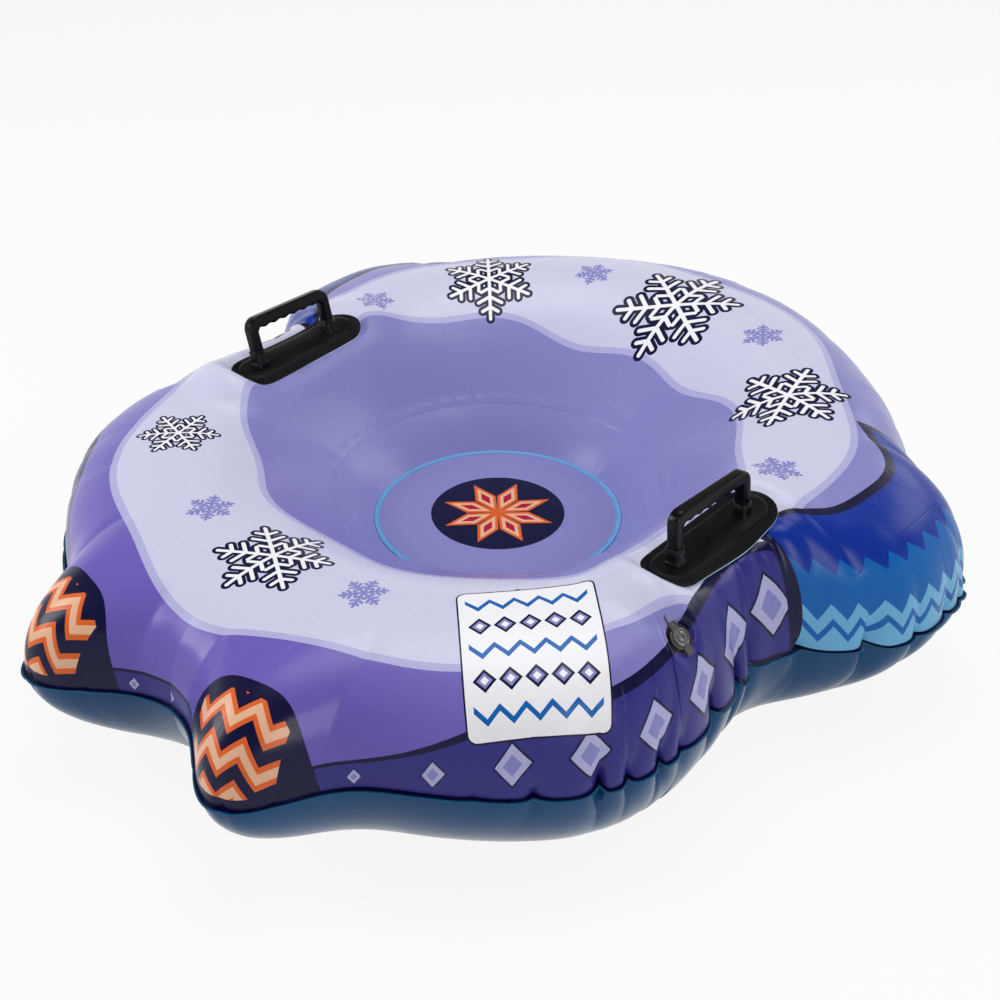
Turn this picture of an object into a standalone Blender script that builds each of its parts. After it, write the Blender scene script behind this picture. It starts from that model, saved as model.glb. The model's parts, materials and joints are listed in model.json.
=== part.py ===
"""Inflatable snow sled: a lobed ring of air with a dished seat, two grab handles and an air valve.

Metres, +Z up. The sled lies flat on the ground at z = 0, and its two small front lobes point to -Y.
The pieces are built around the middle of the seat, then moved so that the outline is centred on Z.
"""

import math

import bmesh
import bpy
from mathutils import Matrix, Vector
from mathutils.bvhtree import BVHTree

# Seam outline: distances from the middle of the seat
FRONT_RADIUS = 0.502
FLANK_RADIUS = 0.516
WAIST_RADIUS = 0.405
SHOULDER_RADIUS = 0.508
BACK_RADIUS = 0.538
FRONT_LOBE_REACH = 0.090
SIDE_LOBE_REACH = 0.101
PUCKER_DEPTH = 0.008
SEAM_FLANGE_WIDTH = 0.008

# Seam outline: directions in degrees, from +X, alike on both sides
FLANK_ANGLE = -41.0
WAIST_ANGLE = 0.0
SHOULDER_ANGLE = 51.5
FRONT_LOBE_ANGLE = -75.0
FRONT_LOBE_HALF_ANGLE = 7.6
SIDE_LOBE_ANGLE = 20.3
SIDE_LOBE_HALF_ANGLE = 15.1
FRONT_LOBE_SQUARENESS = 2
SIDE_LOBE_SQUARENESS = 3.4
PUCKER_START_ANGLE = -64.0
PUCKER_FULL_ANGLE = -46.0
PUCKER_FADE = 4

# Heights above the ground
SEAT_HEIGHT = 0.123
FRONT_CREST_HEIGHT = 0.2375
SIDE_CREST_HEIGHT = 0.256
BACK_CREST_HEIGHT = 0.287
FRONT_SEAM_HEIGHT = 0.1225
BACK_SEAM_HEIGHT = 0.107

# Dished seat
SEAT_FLOOR_RADIUS = 0.150
SEAT_WALL_SPREAD = 0.054
SEAT_WALL_RISE = 0.0523
WELD_LAP = 0.010
UNDER_WELL_SPREAD = 0.086
SEAT_RING_WIDTH = 0.0065
SEAT_RING_THICKNESS = 0.0005
VENT_COUNT = 8
VENT_RADIUS = 0.012

# Vinyl sheets and the gaps left between neighbours
TOP_SHEET = 0.0006
BOTTOM_SHEET = 0.0008
BAFFLE_SHEET = 0.0006
PATCH_SHEET = 0.0008
GAP = 0.0003
LAP_GAP = 0.0004
DRAPE_GAP = 0.0005

# Section curves: shares of the run and the rise between their end points
CREST_SHARE = 0.54
CONTACT_SHARE = 0.69
RISE_START_SHARES = (0.35, 0.55)
CREST_EASE_SHARE = 0.41
OUTER_FULL_SHARE = 0.70
LOWER_FULL_SHARE = 0.45
CREST_SHARPNESS = 1.1

# Mesh fineness
COLUMNS = 108
COLUMN_SAMPLES = 1440
PUCKER_EVERY = 3
INNER_ROW_SHARES = (0.45, 1.0)
OUTER_ROW_SHARES = (0.26, 0.44, 0.59, 0.73, 0.87, 1.0)
LOWER_ROW_SHARES = (0, 0.34, 0.6, 0.82, 1.0)
WELL_ROW_SHARES = (0.5, 1.0)
SEARCH_STEPS = 30
CIRCLE_SIDES = 28
CORNER_STEPS = 4
WAVE_STEPS = 6
PLATE_ROWS = 12
PLATE_LANE_SHARES = (-1, -0.5, 0, 0.5, 1)
PATCH_ROWS = 20
PATCH_LANE_SHARES = (-1, -0.76, -0.575, -0.3, 0, 0.3, 0.575, 0.76, 1)

# Grab handles
HANDLE_OUTSET = 0.0115
HANDLE_OFFSET = 0.012
HANDLE_Y = -0.037
RIGHT_LEAN = -4.0
LEFT_LEAN = -16.0
GRIP_SPAN = 0.118
GRIP_HEIGHT = 0.058
GRIP_BAR = 0.0145
GRIP_LEG = 0.0130
GRIP_DEPTH = 0.0145
GRIP_EDGE = 0.0030
GRIP_CORNER = 0.0150
GRIP_INNER_CORNER = 0.0040
FINGER_GROOVES = 6
FINGER_WAVE = 0.0009
BOSS_HEIGHT = 0.0170
BOSS_WALL = 0.0014
BOSS_FLARE = 0.0018
BOSS_FLARE_HEIGHT = 0.0060
BOSS_CURVE_SHARES = (0.33, 0.5)
SOCKET_DEPTH = 0.0120
SOCKET_CLEARANCE = 0.0003
PLATE_END_REACH = 0.020
PLATE_WIDTH = 0.036
PLATE_THICKNESS = 0.0020
PATCH_LENGTH = 0.200
PATCH_WIDTH = 0.066
PATCH_SHIFT = 0.002
PATCH_SLOPE_WIDTH = 0.006
PATCH_OVERHANG = 0.0010
HOLE_CLEARANCE = 0.0020

# Air valve
VALVE_ANGLE = -22.7
VALVE_SLOPE_SHARE = 0.677
CUP_RADIUS = 0.0165
CUP_WALL = 0.0010
CUP_DEPTH = 0.0090
CUP_RIM_DROP = 0.0012
VALVE_FLANGE_RADIUS = 0.0200
VALVE_FLANGE_DROP = 0.0075
COLLAR_LENGTH = 0.0080
STEM_RADIUS = 0.0082
STEM_BORE = 0.0052
STEM_LENGTH = 0.0200
STEM_RIM_RADIUS = 0.0120
STEM_RIM_THICKNESS = 0.0014
STEM_CLEARANCE = 0.0003
FLAP_RADIUS = 0.0066
FLAP_THICKNESS = 0.0006
PLUG_RADIUS = 0.0100
PLUG_THICKNESS = 0.0020
PLUG_RIDGE_HEIGHT = 0.0005
PLUG_RING_SHARES = (0.84, 0.78, 0.54, 0.48, 0.36, 0.3)
PLUG_STUB_TOP = 0.0049
PLUG_STUB_TIP = 0.0038
PLUG_STUB_LENGTH = 0.0060
STRAP_REACH = 0.0200
STRAP_WIDTH = 0.0095
STRAP_THICKNESS = 0.0014
TAB_REACH = 0.0285
TAB_ROUND_ANGLES = (120, 150, 180, 210, 240)
RIB_WIDTH = 0.0050
RIB_THICKNESS = 0.0012
RIB_HEIGHT = 0.0008
RIB_SHARES = (0.68, 0.86)

CUT_OVERRUN = 0.004

WELD_RADIUS = SEAT_FLOOR_RADIUS + SEAT_WALL_SPREAD
WELD_HEIGHT = SEAT_HEIGHT + SEAT_WALL_RISE
CONTACT_INNER_RADIUS = WELD_RADIUS + UNDER_WELL_SPREAD
SKIN_FACE = TOP_SHEET + GAP / 2
PLATE_FACE = SKIN_FACE + DRAPE_GAP + PLATE_THICKNESS
PLATE_LENGTH = GRIP_SPAN + 2 * PLATE_END_REACH


def clear_scene():
    for item in list(bpy.data.objects):
        bpy.data.objects.remove(item, do_unlink=True)


def new_collection(name):
    collection = bpy.data.collections.new(name)
    bpy.context.scene.collection.children.link(collection)
    return collection


def linear(hex_colour):
    channels = [int(hex_colour[i:i + 2], 16) / 255 for i in (0, 2, 4)]
    return [c / 12.92 if c <= 0.04045 else ((c + 0.055) / 1.055) ** 2.4 for c in channels]


def material(name, hex_colour, roughness):
    surface = bpy.data.materials.new(name)
    surface.use_nodes = True
    shader = surface.node_tree.nodes["Principled BSDF"]
    shader.inputs["Base Color"].default_value = (*linear(hex_colour), 1)
    shader.inputs["Roughness"].default_value = roughness
    shader.inputs["Metallic"].default_value = 0
    surface.diffuse_color = (*linear(hex_colour), 1)
    return surface


def add_object(name, mesh, collection, surface=None, matrix=None):
    item = bpy.data.objects.new(name, mesh)
    if surface:
        mesh.materials.append(surface)
    collection.objects.link(item)
    if matrix:
        item.matrix_world = matrix
    return item


def bmesh_object(name, bm, collection, surface=None, matrix=None):
    mesh = bpy.data.meshes.new(name)
    bm.to_mesh(mesh)
    bm.free()
    return add_object(name, mesh, collection, surface, matrix)


def solidify(item, thickness):
    shell = item.modifiers.new("Sheet", "SOLIDIFY")
    shell.thickness = thickness
    shell.offset = 0
    shell.use_even_offset = True
    shell.use_quality_normals = True
    item.data.shade_smooth()


def boolean(item, other, operation):
    cut = item.modifiers.new(operation.title(), "BOOLEAN")
    cut.operation = operation
    cut.solver = "EXACT"
    cut.object = other
    other.hide_render = True
    other.display_type = "WIRE"


def ease(share):
    share = min(max(share, 0), 1)
    return (1 - math.cos(math.pi * share)) / 2


def folded_angle(angle):
    """The same direction on the +X side, from -90 (front) to 90 (back) degrees."""
    angle = (angle + 180) % 360 - 180
    if angle > 90:
        return 180 - angle
    if angle < -90:
        return -180 - angle
    return angle


def body_radius(angle):
    """Seam radius of the plain ring, without lobes."""
    turn = folded_angle(angle)
    stations = ((-90, FRONT_RADIUS), (FLANK_ANGLE, FLANK_RADIUS), (WAIST_ANGLE, WAIST_RADIUS),
                (SHOULDER_ANGLE, SHOULDER_RADIUS), (90, BACK_RADIUS))
    for (start, low), (end, high) in zip(stations, stations[1:]):
        if turn <= end:
            return low + (high - low) * ease((turn - start) / (end - start))
    return BACK_RADIUS


def lobe(turn, middle, half_angle, squareness):
    return math.exp(-abs((turn - middle) / half_angle) ** squareness)


def seam_radius(angle):
    turn = folded_angle(angle)
    front = lobe(turn, FRONT_LOBE_ANGLE, FRONT_LOBE_HALF_ANGLE, FRONT_LOBE_SQUARENESS)
    side = lobe(turn, SIDE_LOBE_ANGLE, SIDE_LOBE_HALF_ANGLE, SIDE_LOBE_SQUARENESS)
    return body_radius(angle) + FRONT_LOBE_REACH * front + SIDE_LOBE_REACH * side


def pucker(angle):
    """How far the seam is drawn in at a gather: nothing between the front lobes."""
    span = PUCKER_FULL_ANGLE - PUCKER_START_ANGLE
    return PUCKER_DEPTH * ease((folded_angle(angle) - PUCKER_START_ANGLE) / span)


def seam_height(angle):
    middle = (FRONT_SEAM_HEIGHT + BACK_SEAM_HEIGHT) / 2
    tilt = (BACK_SEAM_HEIGHT - FRONT_SEAM_HEIGHT) / 2
    return middle + tilt * math.sin(math.radians(angle))


def crest(angle):
    """Radius and height of the top of the tube."""
    along = math.sin(math.radians(angle))
    end = BACK_CREST_HEIGHT if along > 0 else FRONT_CREST_HEIGHT
    height = SIDE_CREST_HEIGHT + (end - SIDE_CREST_HEIGHT) * abs(along) ** CREST_SHARPNESS
    return WELD_RADIUS + (body_radius(angle) - WELD_RADIUS) * CREST_SHARE, height


def curve_point(points, share):
    """A point on a cubic curve, as (radius, height)."""
    rest = 1 - share
    weights = (rest ** 3, 3 * rest ** 2 * share, 3 * rest * share ** 2, share ** 3)
    return tuple(sum(w * p[axis] for w, p in zip(weights, points)) for axis in (0, 1))


def inner_curve(angle):
    """From the seat weld up to the crest."""
    radius, height = crest(angle)
    run = radius - WELD_RADIUS
    rise = height - WELD_HEIGHT
    start = (WELD_RADIUS + run * RISE_START_SHARES[0], WELD_HEIGHT + rise * RISE_START_SHARES[1])
    return (WELD_RADIUS, WELD_HEIGHT), start, (radius - run * CREST_EASE_SHARE, height), (radius, height)


def outer_curve(angle):
    """From the crest down to the seam."""
    radius, height = crest(angle)
    seam = seam_radius(angle)
    low = seam_height(angle)
    run = (seam - radius) * OUTER_FULL_SHARE
    rise = (height - low) * OUTER_FULL_SHARE
    return (radius, height), (radius + run, height), (seam, low + rise), (seam, low)


def lower_curve(angle):
    """From the ground up to the seam."""
    seam = seam_radius(angle)
    low = seam_height(angle)
    foot = WELD_RADIUS + (body_radius(angle) - WELD_RADIUS) * CONTACT_SHARE
    run = (seam - foot) * LOWER_FULL_SHARE
    return (foot, 0), (foot + run, 0), (seam, low - low * LOWER_FULL_SHARE), (seam, low)


def well_curve():
    """Under the sled, from the seat weld down to the ground."""
    low = SEAT_HEIGHT - SEAT_WALL_RISE
    start = (WELD_RADIUS + UNDER_WELL_SPREAD * RISE_START_SHARES[0], low - low * RISE_START_SHARES[1])
    ease_in = CONTACT_INNER_RADIUS - UNDER_WELL_SPREAD * CREST_EASE_SHARE
    return (WELD_RADIUS, low), start, (ease_in, 0), (CONTACT_INNER_RADIUS, 0)


def polar(angle, radius, height):
    turn = math.radians(angle)
    return Vector((radius * math.cos(turn), radius * math.sin(turn), height))


def top_point(x, y):
    """The point of the smooth top sheet above (x, y), outside the seat weld."""
    angle = math.degrees(math.atan2(y, x))
    radius = math.hypot(x, y)
    points = inner_curve(angle)
    if radius > crest(angle)[0]:
        points = outer_curve(angle)
    low, high = 0, 1
    for _ in range(SEARCH_STEPS):
        middle = (low + high) / 2
        if curve_point(points, middle)[0] < radius:
            low = middle
        else:
            high = middle
    return Vector((x, y, curve_point(points, (low + high) / 2)[1]))


def top_normal(x, y):
    step = GAP
    along_x = top_point(x + step, y) - top_point(x - step, y)
    along_y = top_point(x, y + step) - top_point(x, y - step)
    return along_x.cross(along_y).normalized()


def column_angles():
    """Directions that divide the seam outline into equal lengths, from the front."""
    samples = [-90 + 360 * i / COLUMN_SAMPLES for i in range(COLUMN_SAMPLES + 1)]
    points = [polar(angle, seam_radius(angle), 0) for angle in samples]
    lengths = [0]
    for a, b in zip(points, points[1:]):
        lengths.append(lengths[-1] + (b - a).length)
    angles = []
    index = 0
    for column in range(COLUMNS):
        wanted = lengths[-1] * column / COLUMNS
        while lengths[index + 1] < wanted:
            index += 1
        share = (wanted - lengths[index]) / (lengths[index + 1] - lengths[index])
        angles.append(samples[index] + share * (samples[index + 1] - samples[index]))
    return angles


def gather(column, angle, share):
    """How far a column is drawn in at a share of the way to the seam: most at the seam itself."""
    if column % PUCKER_EVERY:
        return 0
    return pucker(angle) * share ** PUCKER_FADE


def loft(name, columns, collection, surface, centre=None):
    """An open sheet through columns of points, closed around the Z axis."""
    bm = bmesh.new()
    rows = [[bm.verts.new(point) for point in column] for column in columns]
    for this, following in zip(rows, rows[1:] + rows[:1]):
        for i in range(len(this) - 1):
            bm.faces.new((this[i], this[i + 1], following[i + 1], following[i]))
    if centre:
        middle = bm.verts.new(centre)
        for this, following in zip(rows, rows[1:] + rows[:1]):
            bm.faces.new((middle, this[0], following[0]))
    bmesh.ops.recalc_face_normals(bm, faces=bm.faces)
    return bmesh_object(name, bm, collection, surface)


def seat_wall(radius, drop):
    """Height of the conical seat wall, less a drop square to it."""
    slope = SEAT_WALL_RISE / SEAT_WALL_SPREAD
    return SEAT_HEIGHT + (radius - SEAT_FLOOR_RADIUS) * slope - drop * math.hypot(1, slope)


def top_columns():
    """Top sheet: seat lap, inner slope, crest, outer slope and seam flange."""
    columns = []
    for column, angle in enumerate(column_angles()):
        lap = WELD_RADIUS - WELD_LAP
        line = [(lap, seat_wall(lap, 0)), (WELD_RADIUS, WELD_HEIGHT)]
        line += [curve_point(inner_curve(angle), share) for share in INNER_ROW_SHARES]
        for share in OUTER_ROW_SHARES:
            radius, height = curve_point(outer_curve(angle), share)
            line.append((radius - gather(column, angle, share), height))
        line.append((line[-1][0] + SEAM_FLANGE_WIDTH, seam_height(angle)))
        lift = (TOP_SHEET + GAP) / 2
        columns.append([polar(angle, radius, height + lift) for radius, height in line])
    return columns


def make_top_skin(collection, surface):
    item = loft("top_skin", top_columns(), collection, surface)
    solidify(item, TOP_SHEET)
    return item


def make_bottom_skin(collection, surface):
    """Bottom sheet: floor, under-seat well, flat contact ring, bulge and seam flange."""
    lift = BOTTOM_SHEET / 2
    drop = (BOTTOM_SHEET + GAP) / 2
    floor = SEAT_HEIGHT - TOP_SHEET / 2 - LAP_GAP - BOTTOM_SHEET / 2
    columns = []
    for column, angle in enumerate(column_angles()):
        line = [(SEAT_FLOOR_RADIUS, floor), (WELD_RADIUS, SEAT_HEIGHT - SEAT_WALL_RISE)]
        line += [curve_point(well_curve(), share) for share in WELL_ROW_SHARES]
        for share in LOWER_ROW_SHARES:
            radius, height = curve_point(lower_curve(angle), share)
            line.append((radius - gather(column, angle, share), height - drop * share))
        line.append((line[-1][0] + SEAM_FLANGE_WIDTH, line[-1][1]))
        line = [(radius, max(height, lift)) for radius, height in line]
        columns.append([polar(angle, radius, height) for radius, height in line])
    item = loft("bottom_skin", columns, collection, surface, Vector((0, 0, floor)))
    solidify(item, BOTTOM_SHEET)
    return item


def ring_columns(line):
    step = 360 / (COLUMNS / 2)
    return [[polar(step * i, radius, height) for radius, height in line] for i in range(COLUMNS // 2)]


def make_seat_panel(collection, surface):
    """Seat panel: flat floor and conical wall, lapped under the top sheet at its rim."""
    drop = TOP_SHEET + LAP_GAP
    lap = WELD_RADIUS - WELD_LAP
    line = [(SEAT_FLOOR_RADIUS, SEAT_HEIGHT), (lap, seat_wall(lap, drop)),
            (WELD_RADIUS, seat_wall(WELD_RADIUS, drop))]
    item = loft("seat_panel", ring_columns(line), collection, surface, Vector((0, 0, SEAT_HEIGHT)))
    solidify(item, TOP_SHEET)
    return item


def make_seat_ring(collection, surface):
    """The flat weld ring that joins the seat floor to the bottom sheet."""
    height = SEAT_HEIGHT + TOP_SHEET / 2 + GAP + SEAT_RING_THICKNESS / 2
    line = [(SEAT_FLOOR_RADIUS - SEAT_RING_WIDTH, height), (SEAT_FLOOR_RADIUS - GAP, height)]
    item = loft("seat_ring", ring_columns(line), collection, surface)
    solidify(item, SEAT_RING_THICKNESS)
    return item


def make_baffle(collection, cutters, surface):
    """Upright band inside the tube, from the seat panel to the bottom sheet, with air vents."""
    drop = TOP_SHEET + LAP_GAP + TOP_SHEET / 2 + GAP + BAFFLE_SHEET / 2
    under = WELD_RADIUS - WELD_LAP
    top_lip = (under, seat_wall(under, drop))
    top_bend = (WELD_RADIUS, seat_wall(WELD_RADIUS, drop))
    rise = BOTTOM_SHEET / 2 + LAP_GAP + BAFFLE_SHEET
    low_lip = (under, 2 * SEAT_HEIGHT - seat_wall(under, 0) + rise)
    low_bend = (WELD_RADIUS, SEAT_HEIGHT - SEAT_WALL_RISE + rise)
    item = loft("inner_baffle", ring_columns([top_lip, top_bend, low_bend, low_lip]), collection, surface)
    solidify(item, BAFFLE_SHEET)
    bm = bmesh.new()
    for i in range(VENT_COUNT):
        angle = 360 * (i + 0.5) / VENT_COUNT
        turn = Matrix.Rotation(math.radians(angle), 4, "Z") @ Matrix.Rotation(math.radians(90), 4, "Y")
        place = Matrix.Translation(polar(angle, WELD_RADIUS, SEAT_HEIGHT)) @ turn
        bmesh.ops.create_cone(bm, cap_ends=True, segments=CIRCLE_SIDES // 2, radius1=VENT_RADIUS,
                              radius2=VENT_RADIUS, depth=2 * CUT_OVERRUN, matrix=place)
    boolean(item, bmesh_object("vent_cutter", bm, cutters), "DIFFERENCE")


def handle_x(side):
    """Just outside the crest, alike on both sides of a line a little to the right of the middle."""
    return side * (crest(WAIST_ANGLE)[0] + HANDLE_OUTSET) + HANDLE_OFFSET


def oval_half_width(along, length, width):
    """Half width of an oval with round ends, at a distance along it from its middle."""
    straight = (length - width) / 2
    past = max(abs(along) - straight, 0) / (width / 2)
    return width / 2 * math.sqrt(max(1 - past ** 2, 0))


def draped_oval(side, centre_y, length, width, rows, lane_shares, lift_at):
    """An oval sheet that follows the top skin, at a lift that depends on the distance to its edge."""
    bm = bmesh.new()
    grid = []
    for i in range(rows + 1):
        along = -length / 2 * math.cos(math.pi * i / rows)
        half = oval_half_width(along, length, width)
        line = []
        for share in lane_shares if 0 < i < rows else (0,):
            across = half * share
            inset = min(half - abs(across), length / 2 - abs(along))
            point = lifted_point(handle_x(side) + across, centre_y + along, lift_at(inset))
            line.append(bm.verts.new(point))
        grid.append(line if len(line) > 1 else line * len(lane_shares))
    for this, following in zip(grid, grid[1:]):
        for j in range(len(this) - 1):
            corners = [this[j], this[j + 1], following[j + 1], following[j]]
            bm.faces.new(list(dict.fromkeys(corners)))
    bmesh.ops.recalc_face_normals(bm, faces=bm.faces)
    return bm


def lifted_point(x, y, lift):
    """A point above the smooth top sheet, square to it."""
    return top_point(x, y) + top_normal(x, y) * lift


def handle_frame(side):
    """Matrix at the handle's middle on its plate: X across, Y along the sled, Z up the legs."""
    lean = RIGHT_LEAN if side > 0 else LEFT_LEAN
    seat = lifted_point(handle_x(side), HANDLE_Y, PLATE_FACE)
    return Matrix.Translation(seat) @ Matrix.Rotation(math.radians(lean), 4, "Y")


def rounded_box_ring(half_x, half_y, corner):
    points = []
    for quarter, (sx, sy) in enumerate(((1, 1), (-1, 1), (-1, -1), (1, -1))):
        for i in range(CORNER_STEPS + 1):
            turn = math.radians(90 * (quarter + i / CORNER_STEPS))
            x = sx * (half_x - corner) + corner * math.cos(turn)
            y = sy * (half_y - corner) + corner * math.sin(turn)
            points.append((x, y))
    return points


def solid(rows):
    """A closed bmesh solid through rings of points, bottom first."""
    bm = bmesh.new()
    rows = [[bm.verts.new(point) for point in row] for row in rows]
    count = len(rows[0])
    for low, high in zip(rows, rows[1:]):
        for i in range(count):
            bm.faces.new((low[i], low[(i + 1) % count], high[(i + 1) % count], high[i]))
    bm.faces.new(list(reversed(rows[0])))
    bm.faces.new(rows[-1])
    return bm


def prism(rings):
    """A closed bmesh solid through rings of (outline, height), bottom first."""
    return solid([[Vector((x, y, height)) for x, y in outline] for outline, height in rings])


def leg_ring(grow):
    return rounded_box_ring(GRIP_DEPTH / 2 + grow, GRIP_LEG / 2 + grow, GRIP_EDGE + grow)


def leg_floor():
    """Height of the leg ends above the plate, in the handle's frame."""
    return BOSS_HEIGHT - SOCKET_DEPTH + SOCKET_CLEARANCE


def grip_outline():
    """Closed outline of the grip as (along, up): outer edge first, then the wavy inner edge."""
    half = GRIP_SPAN / 2 + GRIP_LEG / 2
    inner = GRIP_SPAN / 2 - GRIP_LEG / 2
    under = GRIP_HEIGHT - GRIP_BAR
    centre = half - GRIP_CORNER
    points = [(-half, leg_floor())]
    for side, start in ((-1, 180), (1, 90)):
        for i in range(CORNER_STEPS + 1):
            turn = math.radians(start - 90 * i / CORNER_STEPS)
            along = side * centre + GRIP_CORNER * math.cos(turn)
            points.append((along, GRIP_HEIGHT - GRIP_CORNER + GRIP_CORNER * math.sin(turn)))
    points += [(half, leg_floor()), (inner, leg_floor()), (inner, under - GRIP_INNER_CORNER)]
    steps = WAVE_STEPS * FINGER_GROOVES
    start = inner - GRIP_INNER_CORNER
    for i in range(steps + 1):
        along = start - 2 * start * i / steps
        wave = FINGER_WAVE * math.cos(2 * math.pi * FINGER_GROOVES * i / steps)
        points.append((along, under + wave - FINGER_WAVE))
    points += [(-inner, under - GRIP_INNER_CORNER), (-inner, leg_floor())]
    return points


def make_grip(name, side, collection, surface):
    curve = bpy.data.curves.new(name, "CURVE")
    curve.dimensions = "2D"
    curve.fill_mode = "BOTH"
    curve.extrude = GRIP_DEPTH / 2 - GRIP_EDGE
    curve.bevel_depth = GRIP_EDGE
    curve.bevel_resolution = 1
    curve.offset = -GRIP_EDGE
    spline = curve.splines.new("POLY")
    outline = grip_outline()
    spline.points.add(len(outline) - 1)
    for point, (along, up) in zip(spline.points, outline):
        point.co = (along, up, 0, 1)
    spline.use_cyclic_u = True
    stand = Matrix(((0, 0, 1, 0), (1, 0, 0, 0), (0, 1, 0, 0), (0, 0, 0, 1)))
    add_object(name, curve, collection, surface, handle_frame(side) @ stand)


def leg_frame(side, end):
    """The handle's frame, moved to one leg: -1 is the front leg and 1 the rear one."""
    return handle_frame(side) @ Matrix.Translation((0, end * GRIP_SPAN / 2, 0))


def boss_solid(frame):
    """A boss around one leg: its flared foot follows the plate, and its neck follows the leg."""
    wall = SOCKET_CLEARANCE + BOSS_WALL
    rows = []
    for lift in (PLATE_FACE - PLATE_THICKNESS / 2, PLATE_FACE + GAP):
        foot = [frame @ Vector((x, y, 0)) for x, y in leg_ring(wall + BOSS_FLARE)]
        rows.append([lifted_point(point.x, point.y, lift) for point in foot])
    flare, rise = BOSS_CURVE_SHARES
    neck = ((wall + BOSS_FLARE * flare, BOSS_FLARE_HEIGHT * rise), (wall, BOSS_FLARE_HEIGHT),
            (wall, BOSS_HEIGHT))
    for grow, height in neck:
        rows.append([frame @ Vector((x, y, height)) for x, y in leg_ring(grow)])
    return solid(rows)


def make_handle(side, label, collection, cutters, colours):
    plate_lift = PLATE_FACE - PLATE_THICKNESS / 2
    plate = draped_oval(side, HANDLE_Y, PLATE_LENGTH, PLATE_WIDTH, PLATE_ROWS, PLATE_LANE_SHARES,
                        lambda inset: plate_lift)
    base = bmesh_object("handle_base_" + label, plate, collection, colours["moulding"])
    solidify(base, PLATE_THICKNESS)

    def patch_lift(inset):
        top_of_slope = (PATCH_WIDTH - PLATE_WIDTH) / 2 - PATCH_OVERHANG
        rise = (PLATE_THICKNESS + LAP_GAP) * ease(1 + (inset - top_of_slope) / PATCH_SLOPE_WIDTH)
        return SKIN_FACE + DRAPE_GAP + PATCH_SHEET / 2 + rise

    sheet = draped_oval(side, HANDLE_Y + PATCH_SHIFT, PATCH_LENGTH, PATCH_WIDTH, PATCH_ROWS,
                        PATCH_LANE_SHARES, patch_lift)
    patch = bmesh_object("handle_patch_" + label, sheet, collection, colours["patch"])
    solidify(patch, PATCH_SHEET)

    for end, tag in ((-1, "front_"), (1, "rear_")):
        frame = leg_frame(side, end)
        boss = bmesh_object("boss_" + tag + label, boss_solid(frame), cutters)
        boolean(base, boss, "UNION")
        outline = leg_ring(SOCKET_CLEARANCE + BOSS_WALL + BOSS_FLARE + HOLE_CLEARANCE)
        hole = prism(((outline, -BOSS_HEIGHT / 2), (outline, BOSS_HEIGHT / 2)))
        boolean(patch, bmesh_object("patch_hole_" + tag + label, hole, cutters, None, frame), "DIFFERENCE")
        outline = leg_ring(SOCKET_CLEARANCE)
        socket = prism(((outline, BOSS_HEIGHT - SOCKET_DEPTH), (outline, BOSS_HEIGHT + CUT_OVERRUN)))
        boolean(base, bmesh_object("leg_socket_" + tag + label, socket, cutters, None, frame), "DIFFERENCE")
    make_grip("handle_grip_" + label, side, collection, colours["moulding"])


def valve_frame(skin_columns):
    """Matrix in the mean plane of the skin around the valve cup: Z outward, X down the slope."""
    crest_radius = crest(VALVE_ANGLE)[0]
    run = seam_radius(VALVE_ANGLE) - crest_radius
    over_cup = polar(VALVE_ANGLE, crest_radius + run * VALVE_SLOPE_SHARE, BACK_CREST_HEIGHT)
    points = [point for column in skin_columns for point in column]
    rows = len(skin_columns[0])
    faces = []
    for i in range(len(skin_columns)):
        following = (i + 1) % len(skin_columns)
        for j in range(rows - 1):
            faces.append((i * rows + j, i * rows + j + 1, following * rows + j + 1, following * rows + j))
    skin = BVHTree.FromPolygons(points, faces)
    rim = []
    for i in range(CIRCLE_SIDES):
        above = over_cup + polar(360 * i / CIRCLE_SIDES, CUP_RADIUS, 0)
        rim.append(skin.ray_cast(above, Vector((0, 0, -1)))[0])
    middle = sum(rim, Vector()) / CIRCLE_SIDES
    normal = sum(((a - middle).cross(b - middle) for a, b in zip(rim, rim[1:] + rim[:1])), Vector())
    normal.normalize()
    across = Vector((0, 0, 1)).cross(normal).normalized()
    axes = Matrix((across.cross(normal), across, normal)).transposed().to_4x4()
    return Matrix.Translation(middle + normal * TOP_SHEET / 2) @ axes


def turned(name, profile, collection, surface, matrix):
    """A closed (radius, height) profile turned about Z, its +X side running top to bottom."""
    mesh = bpy.data.meshes.new(name)
    points = [(radius, 0, height) for radius, height in profile]
    edges = [(i, (i + 1) % len(points)) for i in range(len(points))]
    mesh.from_pydata(points, edges, [])
    item = add_object(name, mesh, collection, surface, matrix)
    spin = item.modifiers.new("Turn", "SCREW")
    spin.steps = CIRCLE_SIDES
    spin.render_steps = CIRCLE_SIDES
    spin.use_merge_vertices = True
    spin.merge_threshold = 0.00001
    spin.use_smooth_shade = True
    return item


def disc_solid(profile, sides):
    """A closed bmesh solid of revolution from (radius, height) points, bottom first."""
    rings = []
    for radius, height in profile:
        ring = [(radius * math.cos(2 * math.pi * i / sides), radius * math.sin(2 * math.pi * i / sides))
                for i in range(sides)]
        rings.append((ring, height))
    return prism(rings)


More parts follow.
